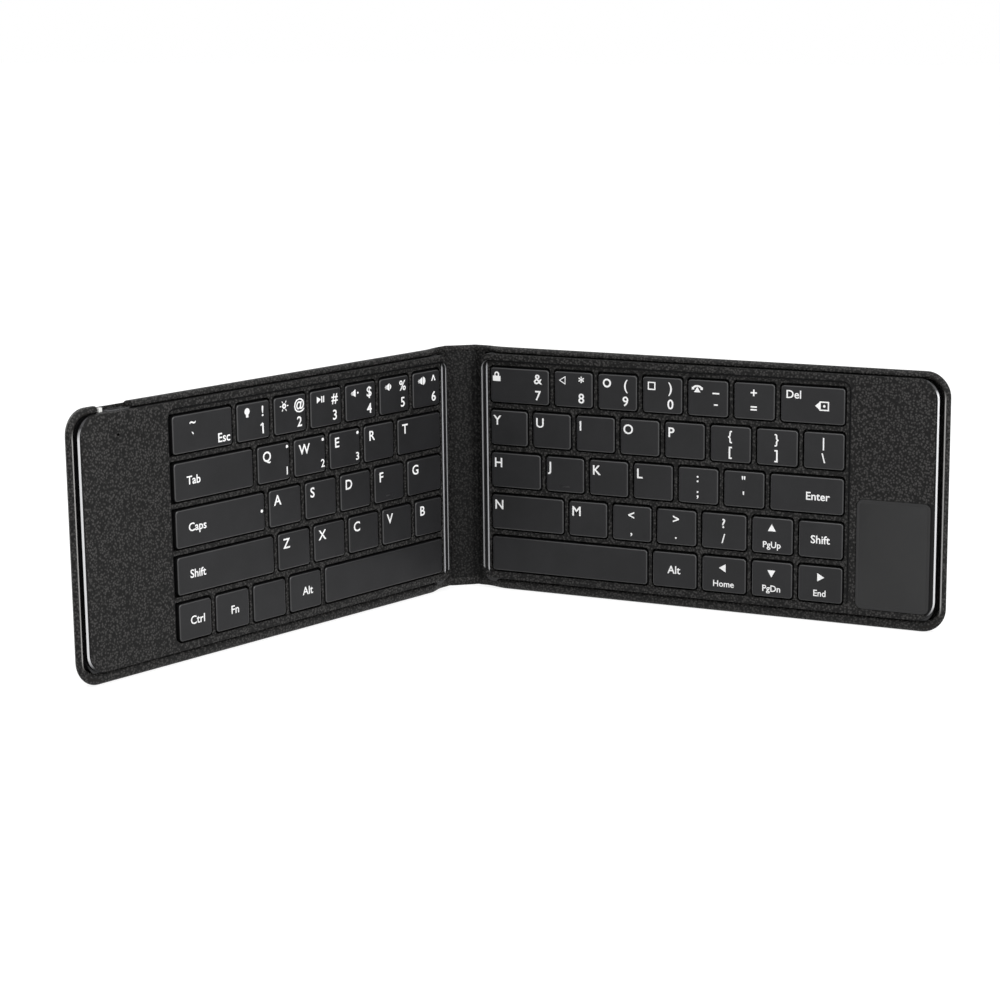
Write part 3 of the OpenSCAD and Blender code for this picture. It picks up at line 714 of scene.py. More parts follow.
class Finishes:
    """All materials of the keyboard, by name of the record's slot."""

    def __init__(self) -> None:
        """Builds each finish once."""
        finishes = (
            Leather("cover_leather", (0.002, 0.0019, 0.0018), (0.038, 0.0364, 0.0352)),
            Leather("panel_leather", (0.002, 0.0019, 0.0018), (0.042, 0.0405, 0.0394)),
            Leather("lining_leather", (0.001, 0.001, 0.001), (0.021, 0.0204, 0.0198), specular=0.14),
            Plastic("frame_plastic", (0.006, 0.006, 0.0063), 0.4, relief=0.05, specular=0.15),
            Plastic("tray_plastic", (0.02, 0.02, 0.021), 0.55),
            Plastic("key_plastic", (0.0118, 0.0118, 0.0128), 0.45, texture=7800, specular=0.26),
            # Painted highlight: a lighter, glossier copy of the key plastic for the caps' rims.
            Plastic("key_rim_painted_highlight", (0.02, 0.02, 0.021), 0.3, texture=7800, specular=0.6),
            Metal("plate_steel", (0.55, 0.56, 0.58), 0.35),
            # Near-black, so that where the film shows in the gaps round the keys it gives their painted shade.
            Plastic("membrane_film", (0.016, 0.016, 0.017), 0.3, relief=0.03),
            Plastic("dome_rubber", (0.55, 0.55, 0.52), 0.7),
            Plastic("scissor_plastic", (0.7, 0.7, 0.68), 0.45),
            Metal("magnet_metal", (0.7, 0.7, 0.72), 0.22),
            Metal("screw_metal", (0.5, 0.5, 0.52), 0.3),
            Plastic("touchpad_surface", (0.0153, 0.0153, 0.0157), 0.4, texture=9000, relief=0.05,
                    variation=0.04, specular=0.3),
            Plastic("circuit_board", (0.02, 0.1, 0.05), 0.35, coat=0.4),
            Metal("battery_pouch", (0.6, 0.61, 0.63), 0.4),
            Metal("port_steel", (0.16, 0.16, 0.165), 0.4),
            Plastic("switch_plastic", (0.8, 0.8, 0.78), 0.35, coat=0.2),
            # Near-black without highlights: painted shade in the status light's pinhole.
            Plastic("light_pipe", (0.001, 0.001, 0.001), 0.6, relief=0.02, specular=0.0),
            Plastic("stiffener_board", (0.35, 0.28, 0.2), 0.8, texture=2500, relief=0.3),
            Plastic("ribbon_film", (0.5, 0.25, 0.06), 0.35),
            # Cut metal at a brightness set for each edge, which is painted reflection over the metal's colour,
            # each fading to painted shade at the top and the bottom.
            CutEdgeWithPaintedShade("cut_edge", (0.6, 0.6, 0.61)),
            CutEdgeWithPaintedShade("inner_bead", (0.32, 0.32, 0.33), ends=(0.0045, 0.0072)),
            CutEdgeWithPaintedShade("outer_bead", (0.25, 0.25, 0.255), ends=(0.0045, 0.0072)),
            # Painted highlight on the hem's crest, fading to painted shade at the top and the bottom.
            CutEdgeWithPaintedShade("painted_hem_highlight", (0.3, 0.294, 0.288), dark=(0.02, 0.019, 0.018), roughness=0.5),
            Plastic("legend_print", (0.86, 0.86, 0.86), 0.4, texture=9000, relief=0.05, variation=0.03),
        )
        self.by_name = {finish.name: finish.build() for finish in finishes}

    def dress(self, item: bpy.types.Object, *names: str) -> None:
        """Gives an object these materials in its slots, in order."""
        item.data.materials.clear()
        for name in names:
            item.data.materials.append(self.by_name[name])


# ---------- Leather cover and spine ----------


def eased(share: float) -> float:
    """Lets a share that goes from 0 to 1 start and end gently."""
    return share * share * (3 - 2 * share)


@dataclass(frozen=True)
class Cover:
    """Leather cover of a half, with a round back edge, a rolled hem and a flap over its crease.

    Attributes:
        half: The half that it belongs to.
        creases: The creases of the spine.
        back_round: Rounding of the back edge.
        hem_width: Width of the hem at the outer end.
        hem_top: Its width along the top.
        hem_bottom: Its width along the bottom.
        hem_depth: Depth of its crest.
        hem_crest: Where its rubbed crest starts and ends, from the outer edge.
        hem_curve: Its outside: shares of the way to the crest, and of the rise that is left there.
        shoulder: Depth where the hem leaves the outer edge.
        draft: Slope of the outer end behind the hem.
        draft_start: Panel x where that slope starts.
        pocket_floor: Depth of the pocket that takes the tray.
        spine_front: Depth of the spine's front.
        ramp_end: Panel x where the hem has reached its full height.
        bend_reach: How far the leather bends on each side of the crease.
        lining_thickness: Thickness of the lining.
        ribbon_front: Depth of the ribbon cable.
        ribbon_thickness: Its thickness.
        ribbon_end: Panel x of its end.
        ribbon_heights: Its low and its high edge.
        notch: Low and high panel x of the notch in the hem.
        notch_floor: Depth of the notch.
    """

    half: Half
    creases: Creases
    back_round: float = 3.6
    hem_width: float = 2.4
    hem_top: float = 2.2
    hem_bottom: float = 3.7
    hem_depth: float = 0.75
    # hem_crest: Where its crest starts and ends, from the outer edge; round the outer end it carries a painted
    # highlight.
    hem_crest: Pair = (1.35, 1.8)
    hem_curve: tuple[Pair, ...] = ((0.0, 1.0), (0.12, 0.66), (0.3, 0.38), (0.6, 0.14), (1.0, 0.0))
    shoulder: float = 1.9
    draft: float = 0.5
    draft_start: float = 166.0
    pocket_floor: float = 5.4
    spine_front: float = 3.55
    ramp_end: float = 13.0
    bend_reach: float = 2.3
    lining_thickness: float = 0.5
    ribbon_front: float = 4.23
    ribbon_thickness: float = 0.12
    ribbon_end: float = 5.9
    ribbon_heights: Pair = (40.0, 50.0)
    notch: Pair = (151.53, 165.6)
    notch_floor: float = 5.0

    def build(self, finishes: Finishes) -> list[bpy.types.Object]:
        """Models the cover, its flap, the lining and half of the ribbon cable.

        Args:
            finishes: The materials.

        Returns:
            The four pieces.
        """
        side = self.half.side.value
        whole = self._shell(f"{side}_cover_leather")
        flap = copy_of(whole, f"{side}_spine_leather")
        with editing(whole):
            cut_at(whole, PANEL.frame_start, keep_low=False)
        if self.half.side is Side.LEFT:
            self._cut_notch(whole)
        with editing(flap):
            cut_at(flap, PANEL.frame_start, keep_high=False)
        lining = self._lining(f"{side}_spine_lining")
        ribbon = self._strip(f"{side}_ribbon", self.ribbon_front, self.ribbon_thickness, self.ribbon_end,
                             self.ribbon_heights)
        for item in (flap, lining, ribbon):
            self._bend(item)
        for item, looks in ((whole, ("cover_leather", "painted_hem_highlight")), (flap, ("cover_leather",)),
                            (lining, ("lining_leather",)), (ribbon, ("ribbon_film",))):
            smooth(item)
            finishes.dress(item, *looks)
            if item is whole:
                self._paint_hem_highlight(item)
            place(item, self.half)
        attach(whole, self.half.body)
        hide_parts(f"{side}_cover")
        for item, node in ((flap, "spine_cover"), (lining, "spine_lining"), (ribbon, "ribbon_cable")):
            self._blend(item)
            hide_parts(node)
        return [whole, flap, lining, ribbon]

    def _shell(self, name: str) -> bpy.types.Object:
        """The leather shell from the middle of the spine to the outer edge.

        Args:
            name: Name of the new object.

        Returns:
            The shell, with its hem lowered to the spine.
        """
        middle = -self.creases.width / 2
        shell = add_block(name, (middle, self.shoulder, 0), (PANEL.length, PANEL.thickness, PANEL.height))
        with editing(shell):
            round_edges(shell, lambda at, run: at.x > PANEL.length - NEAR and abs(run.y) > ALONG,
                        PANEL.corner_radius, 12)
            round_edges(shell, lambda at, run: at.y > PANEL.thickness - HAIR and at.x > middle + NEAR,
                        self.back_round, 7)
            self._lay_hem(shell, middle)
            for x in self._ramp_places():
                cut_at(shell, x)
            self._lower_hem(shell)
            self._draft_end(shell)
        return shell

    def _hem_profile(self) -> list[Pair]:
        """Points of the hem, as distance from the outer edge and depth, over its crest to its inner edge."""
        crest = self.hem_depth
        rise = self.shoulder - crest
        start, end = self.hem_crest
        outside = [(way * start, crest + left * rise) for way, left in self.hem_curve]
        return outside + [(end, crest + 0.02), (end + 0.25, crest + 0.25 * rise),
                          (self.hem_width, crest + 0.75 * rise)]

    def _lay_hem(self, shell: bpy.types.Object, middle: float) -> None:
        """Raises the hem on three sides and sinks the pocket that takes the tray."""
        pick(shell, Pick.FACES, lambda at, normal: normal.y < -ALONG and at.y < self.shoulder + HAIR)
        profile = self._hem_profile()
        step_in([(b[0] - a[0], a[1] - b[1]) for a, b in zip(profile, profile[1:])])
        undercut = self.shoulder - 0.05
        step_in([(HAIR, profile[-1][1] - undercut), (HAIR, undercut - self.shoulder)])
        step_in([(HAIR, self.shoulder - self.pocket_floor)])
        pick(shell, Pick.VERTICES, lambda at, normal: middle + 0.001 < at.x < middle + self.hem_width + 0.2)
        mesh = bmesh.from_edit_mesh(shell.data)
        for vertex in mesh.verts:
            if vertex.select:
                vertex.co.x = middle + 0.001
            if vertex.co.y < undercut + HAIR:
                self._widen(vertex)
        bmesh.update_edit_mesh(shell.data)

    def _widen(self, vertex: bmesh.types.BMVert) -> None:
        """Moves a point of the hem, so that the hem has its own width at the top and at the bottom."""
        radius = PANEL.corner_radius
        base_x = min(vertex.co.x, PANEL.length - radius)
        base_z = min(max(vertex.co.z, radius), PANEL.height - radius)
        dx, dz = vertex.co.x - base_x, vertex.co.z - base_z
        reach = math.hypot(dx, dz)
        width = self.hem_bottom if dz < 0 else self.hem_top
        if reach > 0:
            vertex.co.z = base_z + (radius - (radius - reach) * width / self.hem_width) * dz / reach

    def _ramp_places(self) -> list[float]:
        """Places across the shell where it gets a ring of edges: close together over the crease."""
        bending = [self.bend_reach * (1 - i / 5) for i in range(11)]
        ramp = [PANEL.frame_start + (self.ramp_end - PANEL.frame_start) * i / 6 for i in range(7)]
        return bending + ramp

    def _lower_hem(self, shell: bpy.types.Object) -> None:
        """Lowers the hem towards the spine until it is level with the lining."""
        lowest = (self.pocket_floor - self.spine_front) / (self.pocket_floor - self.hem_depth)
        mesh = bmesh.from_edit_mesh(shell.data)
        for vertex in mesh.verts:
            if vertex.co.x < self.ramp_end and vertex.co.y < self.pocket_floor - NEAR:
                share = max(0.0, (vertex.co.x - PANEL.frame_start) / (self.ramp_end - PANEL.frame_start))
                factor = lowest + (1 - lowest) * eased(share)
                vertex.co.y = self.pocket_floor + (vertex.co.y - self.pocket_floor) * factor
        bmesh.update_edit_mesh(shell.data)

    def _draft_end(self, shell: bpy.types.Object) -> None:
        """Lets the outer end slope inwards behind its hem."""
        mesh = bmesh.from_edit_mesh(shell.data)
        for vertex in mesh.verts:
            share = (vertex.co.x - self.draft_start) / (PANEL.length - self.draft_start)
            behind = vertex.co.y - self.shoulder
            if share > 0 and behind > 0:
                vertex.co.x -= self.draft * behind * share
        bmesh.update_edit_mesh(shell.data)

    def _paint_hem_highlight(self, item: bpy.types.Object) -> None:
        """Paints a highlight on the crest of the hem round the outer end, as a lighter colour that fades to
        painted shade at the top and the bottom.
        """
        start, end = self.hem_crest
        radius = PANEL.corner_radius
        for polygon in item.data.polygons:
            at = polygon.center
            dx = max(0.0, at.x - PANEL.length + radius)
            dz = max(radius - at.z, at.z - PANEL.height + radius, 0.0)
            inset = radius - math.hypot(dx, dz)
            if dx > 0 and at.y < self.hem_depth + NEAR and start < inset < end:
                polygon.material_index = 1

    def _cut_notch(self, shell: bpy.types.Object) -> None:
        """Cuts the notch in the hem over the charging socket and the power switch."""
        start, end = self.notch
        tool = add_block("notch_tool", (start, self.hem_depth - 1, PANEL.height - self.hem_top - 0.1),
                         (end, self.notch_floor, PANEL.height + 1))
        with editing(tool):
            round_edges(tool, lambda at, run: at.z < PANEL.height and abs(run.y) > ALONG, 0.5, 3)
        carve(shell, tool)

    def _lining(self, name: str) -> bpy.types.Object:
        """The strip of leather between the halves, with soft edges.

        Args:
            name: Name of the new object.

        Returns:
            The flat strip.
        """
        inset = self.hem_top - 0.15
        strip = self._strip(name, self.spine_front + 0.05, self.lining_thickness, PANEL.frame_start - 0.05,
                            (inset, PANEL.height - inset))
        with editing(strip):
            round_edges(strip, lambda at, run: at.y < self.spine_front + 0.06 and abs(run.x) > ALONG, 0.25, 3)
        return strip

    def _strip(self, name: str, front: float, thickness: float, end: float,
               heights: Pair) -> bpy.types.Object:
        """A flat strip from the middle of the spine towards the half, with rings of edges over the crease.

        Args:
            name: Name of the new object.
            front: Depth of its front.
            thickness: Its thickness.
            end: Panel x of its end.
            heights: Its low and its high edge.

        Returns:
            The strip.
        """
        low, high = heights
        strip = add_block(name, (-self.creases.width / 2, front, low), (end, front + thickness, high))
        with editing(strip):
            for x in self._ramp_places():
                if x < PANEL.frame_start - NEAR:
                    cut_at(strip, x)
        return strip

    def _bend(self, item: bpy.types.Object) -> None:
        """Turns the part over the spine about the crease, as the keyboard stands."""
        mesh = bmesh.new()
        mesh.from_mesh(item.data)
        crease = Vector((0, PANEL.crease_depth, 0))
        for vertex in mesh.verts:
            share = min(1.0, max(0.0, (self.bend_reach - vertex.co.x) / (2 * self.bend_reach)))
            angle = self.creases.bend * eased(share)
            vertex.co = crease + Matrix.Rotation(angle, 3, "Z") @ (vertex.co - crease)
        mesh.to_mesh(item.data)
        mesh.free()

    def _blend(self, item: bpy.types.Object) -> None:
        """Bakes a piece's place into its mesh; the ends of its bend are worked out here, but nothing uses them."""
        reach = self.bend_reach
        bend = self.creases.bend
        start = self.half.point(reach, PANEL.crease_depth, 0)
        end = self.half.point(-reach * math.cos(bend), PANEL.crease_depth - reach * math.sin(bend), 0)
        self.half.body
        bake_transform(item)


# ---------- Front frame ----------


@dataclass(frozen=True)
class KeyArea:
    """The key field of a half and the raised surround round it, in millimetres.

    Attributes:
        length: Length of the key field from its spine side.
        web_end: How far the web reaches past the outer end of the field.
        skin_end: How far the opening in the leather reaches past the surround at the outer end.
        start: Panel x where the key field starts.
        bottom: Height of the field's lower edge.
        top: Height of the field's top edge.
        margins: From the field to the outside of the surround: spine side, outer end, bottom and top.
        widths: Width of the surround on those sides.
        corner: Outer corner radius of the surround.
    """

    length: float
    web_end: float
    skin_end: float
    start: float = 8.3
    bottom: float = 6.8
    top: float = 82.35
    margins: Edges = (3.8, 1.2, 1.5, 2.0)
    widths: Edges = (2.8, 0.85, 0.9, 0.6)
    corner: float = 3.2

    @property
    def ring(self) -> Edges:
        """Outer edges of the surround: low and high x, low and high z."""
        return (self.start - self.margins[0], self.start + self.length + self.margins[1],
                self.bottom - self.margins[2], self.top + self.margins[3])

    @property
    def opening(self) -> Edges:
        """Inner edges of the surround: low and high x, low and high z."""
        low_x, high_x, low_z, high_z = self.ring
        return (low_x + self.widths[0], high_x - self.widths[1],
                low_z + self.widths[2], high_z - self.widths[3])


@dataclass(frozen=True)
class FrontFrame:
    """Black metal frame of a half, with bright cut edges on its lip and on the surround of the keys, which fade to
    painted shade at the top and the bottom.

    Attributes:
        half: The half that it belongs to.
        area: The key field and the widths of its surround.
        lip: The lip's profile inwards from the frame's side, as distance from the side and depth.
        low_edge: Height of the frame's lower edge.
        bead: Width and height of each of the two beads of the surround beside the spine.
        pad_hole: Low and high x, low and high z of the opening behind the touchpad.
        hole_corner: Pair radius of the openings.
    """

    half: Half
    area: KeyArea
    lip: tuple[Pair, ...] = ((0.0, 0.75), (0.48, 0.25), (0.75, 0.12), (0.9, 0.12))
    low_edge: float = 3.8
    bead: Pair = (0.9, 0.4)
    pad_hole: Edges | None = None
    hole_corner: float = 1.2

    def build(self, finishes: Finishes) -> bpy.types.Object:
        """Models the frame.

        Args:
            finishes: The materials.

        Returns:
            The frame.
        """
        name = f"{self.half.side.value}_frame_metal"
        plate = self._plate(f"{name}_plate")
        for hole in self._holes():
            carve(plate, hole)
        whole = join(name, [plate, self._surround(f"{name}_surround")])
        finishes.dress(whole, "frame_plastic", "cut_edge", "inner_bead", "outer_bead")
        self._brighten(whole)
        smooth(whole, 30)
        place(whole, self.half)
        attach(whole, self.half.body)
        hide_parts(f"{self.half.side.value}_frame")
        return whole

    def _plate(self, name: str) -> bpy.types.Object:
        """The frame's plate with its lip.

        Args:
            name: Name of the new object.

        Returns:
            The plate.
        """
        side_depth = self.lip[0][1]
        plate = add_block(name, (PANEL.frame_start, side_depth, self.low_edge),
                          (PANEL.frame_end, PANEL.frame_back, PANEL.frame_top))
        with editing(plate):
            round_edges(plate, lambda at, run: at.x > PANEL.frame_end - NEAR and abs(run.y) > ALONG,
                        PANEL.frame_corner, 12)
            round_edges(plate, lambda at, run: at.x < PANEL.frame_start + NEAR and abs(run.y) > ALONG,
                        self.area.corner, 8)
            pick(plate, Pick.FACES, lambda at, normal: normal.y < -ALONG and at.y < side_depth + HAIR)
            step_in([(b[0] - a[0], a[1] - b[1]) for a, b in zip(self.lip, self.lip[1:])])
            step_in([(0.02, self.lip[-1][1] - PANEL.skin_thickness - 0.02)])
        return plate

    def _holes(self) -> list[bpy.types.Object]:
        """Tools that cut the openings for the keys and, if there is one, the touchpad."""
        return [add_rounded("hole", (low_x, -2, low_z), (high_x, 4, high_z), self.hole_corner, 4)
                for low_x, high_x, low_z, high_z in filter(None, (self.area.opening, self.pad_hole))]

    def _surround(self, name: str) -> bpy.types.Object:
        """The raised ring round the keys: two beads with a groove between, wider beside the spine.

        Args:
            name: Name of the new object.

        Returns:
            The ring.
        """
        low_x, high_x, low_z, high_z = self.area.ring
        width, height = self.bead
        foot = PANEL.skin_thickness
        floor = height + 0.05
        groove = self.area.widths[0] - 2 * width
        ring = add_rounded(name, (low_x, floor, low_z), (high_x, foot, high_z), self.area.corner, 8)
        with editing(ring):
            pick(ring, Pick.FACES, lambda at, normal: normal.y < -ALONG)
            bead = bead_steps(width, height, 8)
            step_in(bead + [(groove, 0)] + bead + [(0.001, floor - foot)])
            self._set_widths(ring)
            pick(ring, Pick.FACES, lambda at, normal: abs(normal.y) > ALONG and at.y > foot - HAIR)
            bpy.ops.mesh.delete(type="FACE")
            pick(ring, Pick.EDGES, lambda at, run: at.y > foot - HAIR)
            bpy.ops.mesh.bridge_edge_loops()
            bpy.ops.mesh.select_all(action="SELECT")
            bpy.ops.mesh.normals_make_consistent(inside=False)
        return ring

    def _set_widths(self, ring: bpy.types.Object) -> None:
        """Narrows the ring on each side to that side's own width."""
        area = self.area
        low_x, high_x, low_z, high_z = area.ring
        radius = area.corner
        mesh = bmesh.from_edit_mesh(ring.data)
        for vertex in mesh.verts:
            base_x = min(max(vertex.co.x, low_x + radius), high_x - radius)
            base_z = min(max(vertex.co.z, low_z + radius), high_z - radius)
            dx, dz = vertex.co.x - base_x, vertex.co.z - base_z
            reach = math.hypot(dx, dz)
            inset = (radius - reach) / area.widths[0]
            width_x = area.widths[0] if dx < 0 else area.widths[1]
            width_z = area.widths[2] if dz < 0 else area.widths[3]
            if reach > 0:
                vertex.co.x = base_x + (radius - inset * width_x) * dx / reach
                vertex.co.z = base_z + (radius - inset * width_z) * dz / reach
        bmesh.update_edit_mesh(ring.data)

    def _brighten(self, whole: bpy.types.Object) -> None:
        """Gives the lip's outer slope and the beads beside the spine their bright cut metal, which fades to
        painted shade at the top and the bottom.
        """
        area = self.area
        slope = (self.lip[1][1] + self.lip[0][1]) / 2
        inner_bead = area.opening[0] - self.bead[0] - 0.05
        for polygon in whole.data.polygons:
            at, normal = polygon.center, polygon.normal
            if abs(at.y - slope) < NEAR and at.x > PANEL.frame_end - PANEL.frame_corner and normal.x > 0.3:
                polygon.material_index = 1
            elif at.x < area.opening[0] and at.y < self.bead[1] and abs(normal.z) < 0.8:
                polygon.material_index = 2 if at.x > inner_bead else 3


@dataclass(frozen=True)
class FrontSkin:
    """Leather skin on the front of a half, round its keys and its touchpad.

    Attributes:
        half: The half that it belongs to.
        area: The key field and its surround.
        pad_hole: Low and high x, low and high z of the opening for the touchpad.
        pad_corner: Pair radius of that opening.
        light: Panel x and z of the status light, where there is one.
        margin_end: Distance from the frame's outer end.
        low_edge: Height of its lower edge.
        high_edge: Height of its upper edge.
        corner: Radius of the outer corners.
        inner_corner: Radius of the corners by the spine.
        edge: Rounding of its rim.
        gap: Gap to the surround of the keys.
        key_gap: Gap below the lowest keys.
        light_radius: Radius of the hole for the status light.
    """

    half: Half
    area: KeyArea
    pad_hole: Edges | None = None
    pad_corner: float = 2.4
    light: Pair | None = None
    margin_end: float = 1.0
    low_edge: float = 4.0
    high_edge: float = 86.6
    corner: float = 6.2
    inner_corner: float = 3.0
    edge: float = 0.22
    gap: float = 0.08
    key_gap: float = 0.25
    light_radius: float = 0.5

    def build(self, finishes: Finishes) -> bpy.types.Object:
        """Models the skin.

        Args:
            finishes: The materials.

        Returns:
            The skin.
        """
        side = self.half.side.value
        low_x = self.area.ring[0]
        end = PANEL.frame_end - self.margin_end
        skin = add_block(f"{side}_front_leather", (low_x + 0.2, 0, self.low_edge),
                         (end, PANEL.skin_thickness, self.high_edge))
        with editing(skin):
            round_edges(skin, lambda at, run: at.x > end - NEAR and abs(run.y) > ALONG, self.corner, 10)
            round_edges(skin, lambda at, run: at.x < low_x + 0.3 and abs(run.y) > ALONG, self.inner_corner, 8)
            round_edges(skin, lambda at, run: at.y < HAIR, self.edge, 3)
        for tool in self._tools():
            carve(skin, tool)
        smooth(skin)
        place(skin, self.half)
        finishes.dress(skin, "panel_leather")
        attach(skin, self.half.body)
        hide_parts(f"{side}_skin")
        return skin

    def _tools(self) -> Iterator[bpy.types.Object]:
        """Shapes that cut the openings for the surround, the touchpad and the status light."""
        low_x, high_x, _, high_z = self.area.ring
        hidden = self.area.bottom - self.key_gap
        boxes = [(low_x - self.gap, high_x + self.area.skin_end, hidden, high_z + self.gap, self.area.corner)]
        if self.pad_hole:
            boxes.append((*self.pad_hole, self.pad_corner))
        for x0, x1, z0, z1, radius in boxes:
            yield add_rounded("skin_hole", (x0, -1, z0), (x1, 2, z1), radius, 8)
        if self.light:
            hole = add_object(bpy.ops.mesh.primitive_cylinder_add, vertices=24, radius=self.light_radius,
                              depth=4, location=(self.light[0], 0, self.light[1]),
                              rotation=(math.pi / 2, 0, 0))
            bpy.ops.object.transform_apply(location=True, rotation=True, scale=True)
            yield hole


# ---------- Keys ----------


def stretched(pattern: bpy.types.Object, width: float, low: float, high: float,
              bottom: float) -> bpy.types.Object:
    """Copies a pattern that starts at the origin and stretches it along a row.

    Args:
        pattern: What is copied.
        width: Its width.
        low: Low panel x of the copy.
        high: High panel x of the copy.
        bottom: Height of its lower edge.

    Returns:
        The copy in panel coordinates.
    """
    twin = copy_of(pattern, "copy")
    with editing(twin):
        pick(twin, Pick.VERTICES, lambda at, normal: at.x > width / 2)
        bpy.ops.transform.translate(value=(high - low - width, 0, 0))
    twin.data.transform(Matrix.Translation((low, 0, bottom)))
    return twin


class Spot(Enum):
    """Where a legend stands on a key: distance of its anchor from the left, its height, and its alignment.

    The distance is from the key's left edge, or from its right edge where it is negative, or the middle where
    it is None.
    """

    LETTER = (1.5, 9.3, "LEFT")
    SHIFTED = (-4.4, 9.5, "CENTER")
    DIGIT = (-4.4, 3.6, "CENTER")
    UPPER = (None, 9.5, "CENTER")
    LOWER = (None, 4.1, "CENTER")
    MIDDLE = (None, 6.7, "CENTER")
    WORD_LEFT = (4.6, 6.7, "LEFT")
    WORD_RIGHT = (-5.0, 6.2, "RIGHT")
    WORD_LOW_RIGHT = (-2.2, 3.2, "RIGHT")
    WORD_TOP_LEFT = (2.2, 9.9, "LEFT")
    UNDER_ARROW = (None, 3.4, "CENTER")
    OUTER_UPPER = (8.0, 10.2, "CENTER")
    OUTER_LOWER = (8.0, 5.3, "CENTER")
    CHANNEL = (-2.6, 3.2, "CENTER")


class Shape(Enum):
    """Shapes that the printed marks are made of."""

    DISC = "disc"
    RING = "ring"
    BAR = "bar"
    TRIANGLE = "triangle"
    SQUARE = "square"
    WEDGE = "wedge"
    ARC = "arc"


@dataclass(frozen=True)
class Words:
    """Printed letters or signs.

    Attributes:
        text: What is printed.
        spot: Where it stands.
        height: Height of its capitals in millimetres.
    """

    text: str
    spot: Spot
    height: float = 3.4


@dataclass(frozen=True)
class Mark:
    """A printed shape.

    Attributes:
        shape: Its form.
        x: Distance of its middle from the key's left edge, from the right edge where negative, or None.
        z: Height of its middle above the key's lower edge.
        width: Its width in millimetres.
        height: Its height in millimetres.
        turn: Its turn to the left in degrees.
    """

    shape: Shape
    x: float | None
    z: float
    width: float
    height: float
    turn: float = 0.0


# Height of a sign that shares a key with another, in millimetres.
SIGN = 3.2


def letter(text: str) -> list[Words | Mark]:
    """Legend of a letter key."""
    return [Words(text, Spot.LETTER)]


def pair(upper: str, lower: str) -> list[Words | Mark]:
    """Legend of a key with two signs, one above the other."""
    return [Words(upper, Spot.UPPER, SIGN), Words(lower, Spot.LOWER, SIGN)]


def number(upper: str, digit: str, icon: Sequence[Mark]) -> list[Words | Mark]:
    """Legend of a number key: a sign over a digit at its right, and an icon at its upper left."""
    flag = [Mark(Shape.BAR, -4.95, 5.0, 1.3, 0.45, 38)] if digit == "1" else []
    return [Words(upper, Spot.SHIFTED, 3.5), Words(digit, Spot.DIGIT), *flag, *icon]


def word(text: str, spot: Spot, height: float = 2.75) -> list[Words | Mark]:
    """Legend of a key with a word on it."""
    return [Words(text, spot, height)]


def arrow(turn: float, text: str) -> list[Words | Mark]:
    """Legend of an arrow key: a triangle over a word."""
    return [Mark(Shape.TRIANGLE, None, 9.0, 2.9, 2.9, turn), Words(text, Spot.UNDER_ARROW, 2.2)]


ICON_X = 3.9
ICON_Z = 9.7
SPEAKER = [Mark(Shape.BAR, ICON_X - 1.2, ICON_Z, 0.9, 1.2),
           Mark(Shape.TRIANGLE, ICON_X - 0.5, ICON_Z, 2.7, 2.7, 90)]
LAMP = [Mark(Shape.DISC, ICON_X, ICON_Z + 0.4, 2.3, 2.3), Mark(Shape.BAR, ICON_X, ICON_Z - 1.1, 1.1, 0.9)]
SUN_REACH = 1.6
SUN = [Mark(Shape.RING, ICON_X, ICON_Z, 1.9, 1.9)] + [
    Mark(Shape.BAR, ICON_X + SUN_REACH * math.cos(math.radians(angle)),
         ICON_Z + SUN_REACH * math.sin(math.radians(angle)), 0.7, 0.35, angle)
    for angle in range(0, 360, 60)
]
PLAY = [Mark(Shape.TRIANGLE, ICON_X - 0.9, ICON_Z, 2.3, 2.3, -90),
        Mark(Shape.BAR, ICON_X + 0.8, ICON_Z, 0.5, 2.2), Mark(Shape.BAR, ICON_X + 1.7, ICON_Z, 0.5, 2.2)]
QUIET = SPEAKER + [Mark(Shape.DISC, ICON_X + 1.4, ICON_Z, 0.7, 0.7)]
SOFTER = SPEAKER + [Mark(Shape.ARC, ICON_X + 0.3, ICON_Z, 1.9, 1.9)]
LOUDER = SPEAKER + [Mark(Shape.ARC, ICON_X + 0.3, ICON_Z, size, size) for size in (1.8, 3.2)]
LOCK = [Mark(Shape.BAR, ICON_X - 1.0, ICON_Z - 0.8, 3.0, 1.9),
        Mark(Shape.RING, ICON_X - 1.0, ICON_Z + 0.6, 2.1, 2.4)]
BACK = [Mark(Shape.WEDGE, ICON_X, ICON_Z, 3.2, 3.0, 240)]
HOME = [Mark(Shape.RING, ICON_X - 0.1, ICON_Z, 3.2, 3.2)]
RECENT = [Mark(Shape.SQUARE, ICON_X - 0.1, ICON_Z, 2.9, 2.9)]
CALL = [Mark(Shape.ARC, ICON_X, ICON_Z, 2.6, 3.8, 90), Mark(Shape.TRIANGLE, ICON_X, ICON_Z - 0.6, 2.4, 2.2),
        Mark(Shape.BAR, ICON_X - 1.6, ICON_Z + 0.1, 0.9, 0.9),
        Mark(Shape.BAR, ICON_X + 1.6, ICON_Z + 0.1, 0.9, 0.9)]
UNDERSCORE = [Mark(Shape.BAR, -4.5, 8.4, 2.5, 0.5), Mark(Shape.BAR, -4.5, 4.4, 1.4, 0.5)]
TAG = [Mark(Shape.SQUARE, -7.4, 6.4, 3.4, 3.2), Mark(Shape.TRIANGLE, -9.6, 6.4, 2.6, 1.8, 90),
       Mark(Shape.DISC, -7.4, 6.4, 0.9, 0.9)]


def light_dot(x: float, z: float) -> Mark:
    """A round dot."""
    return Mark(Shape.DISC, x, z, 1.1, 1.1)


def channel(text: str, digit: str) -> list[Words | Mark]:
    """Legend of a letter key that also has a dot and a plain digit."""
    return letter(text) + [Words(digit, Spot.CHANNEL, 2.7), light_dot(-2.4, 11.4)]


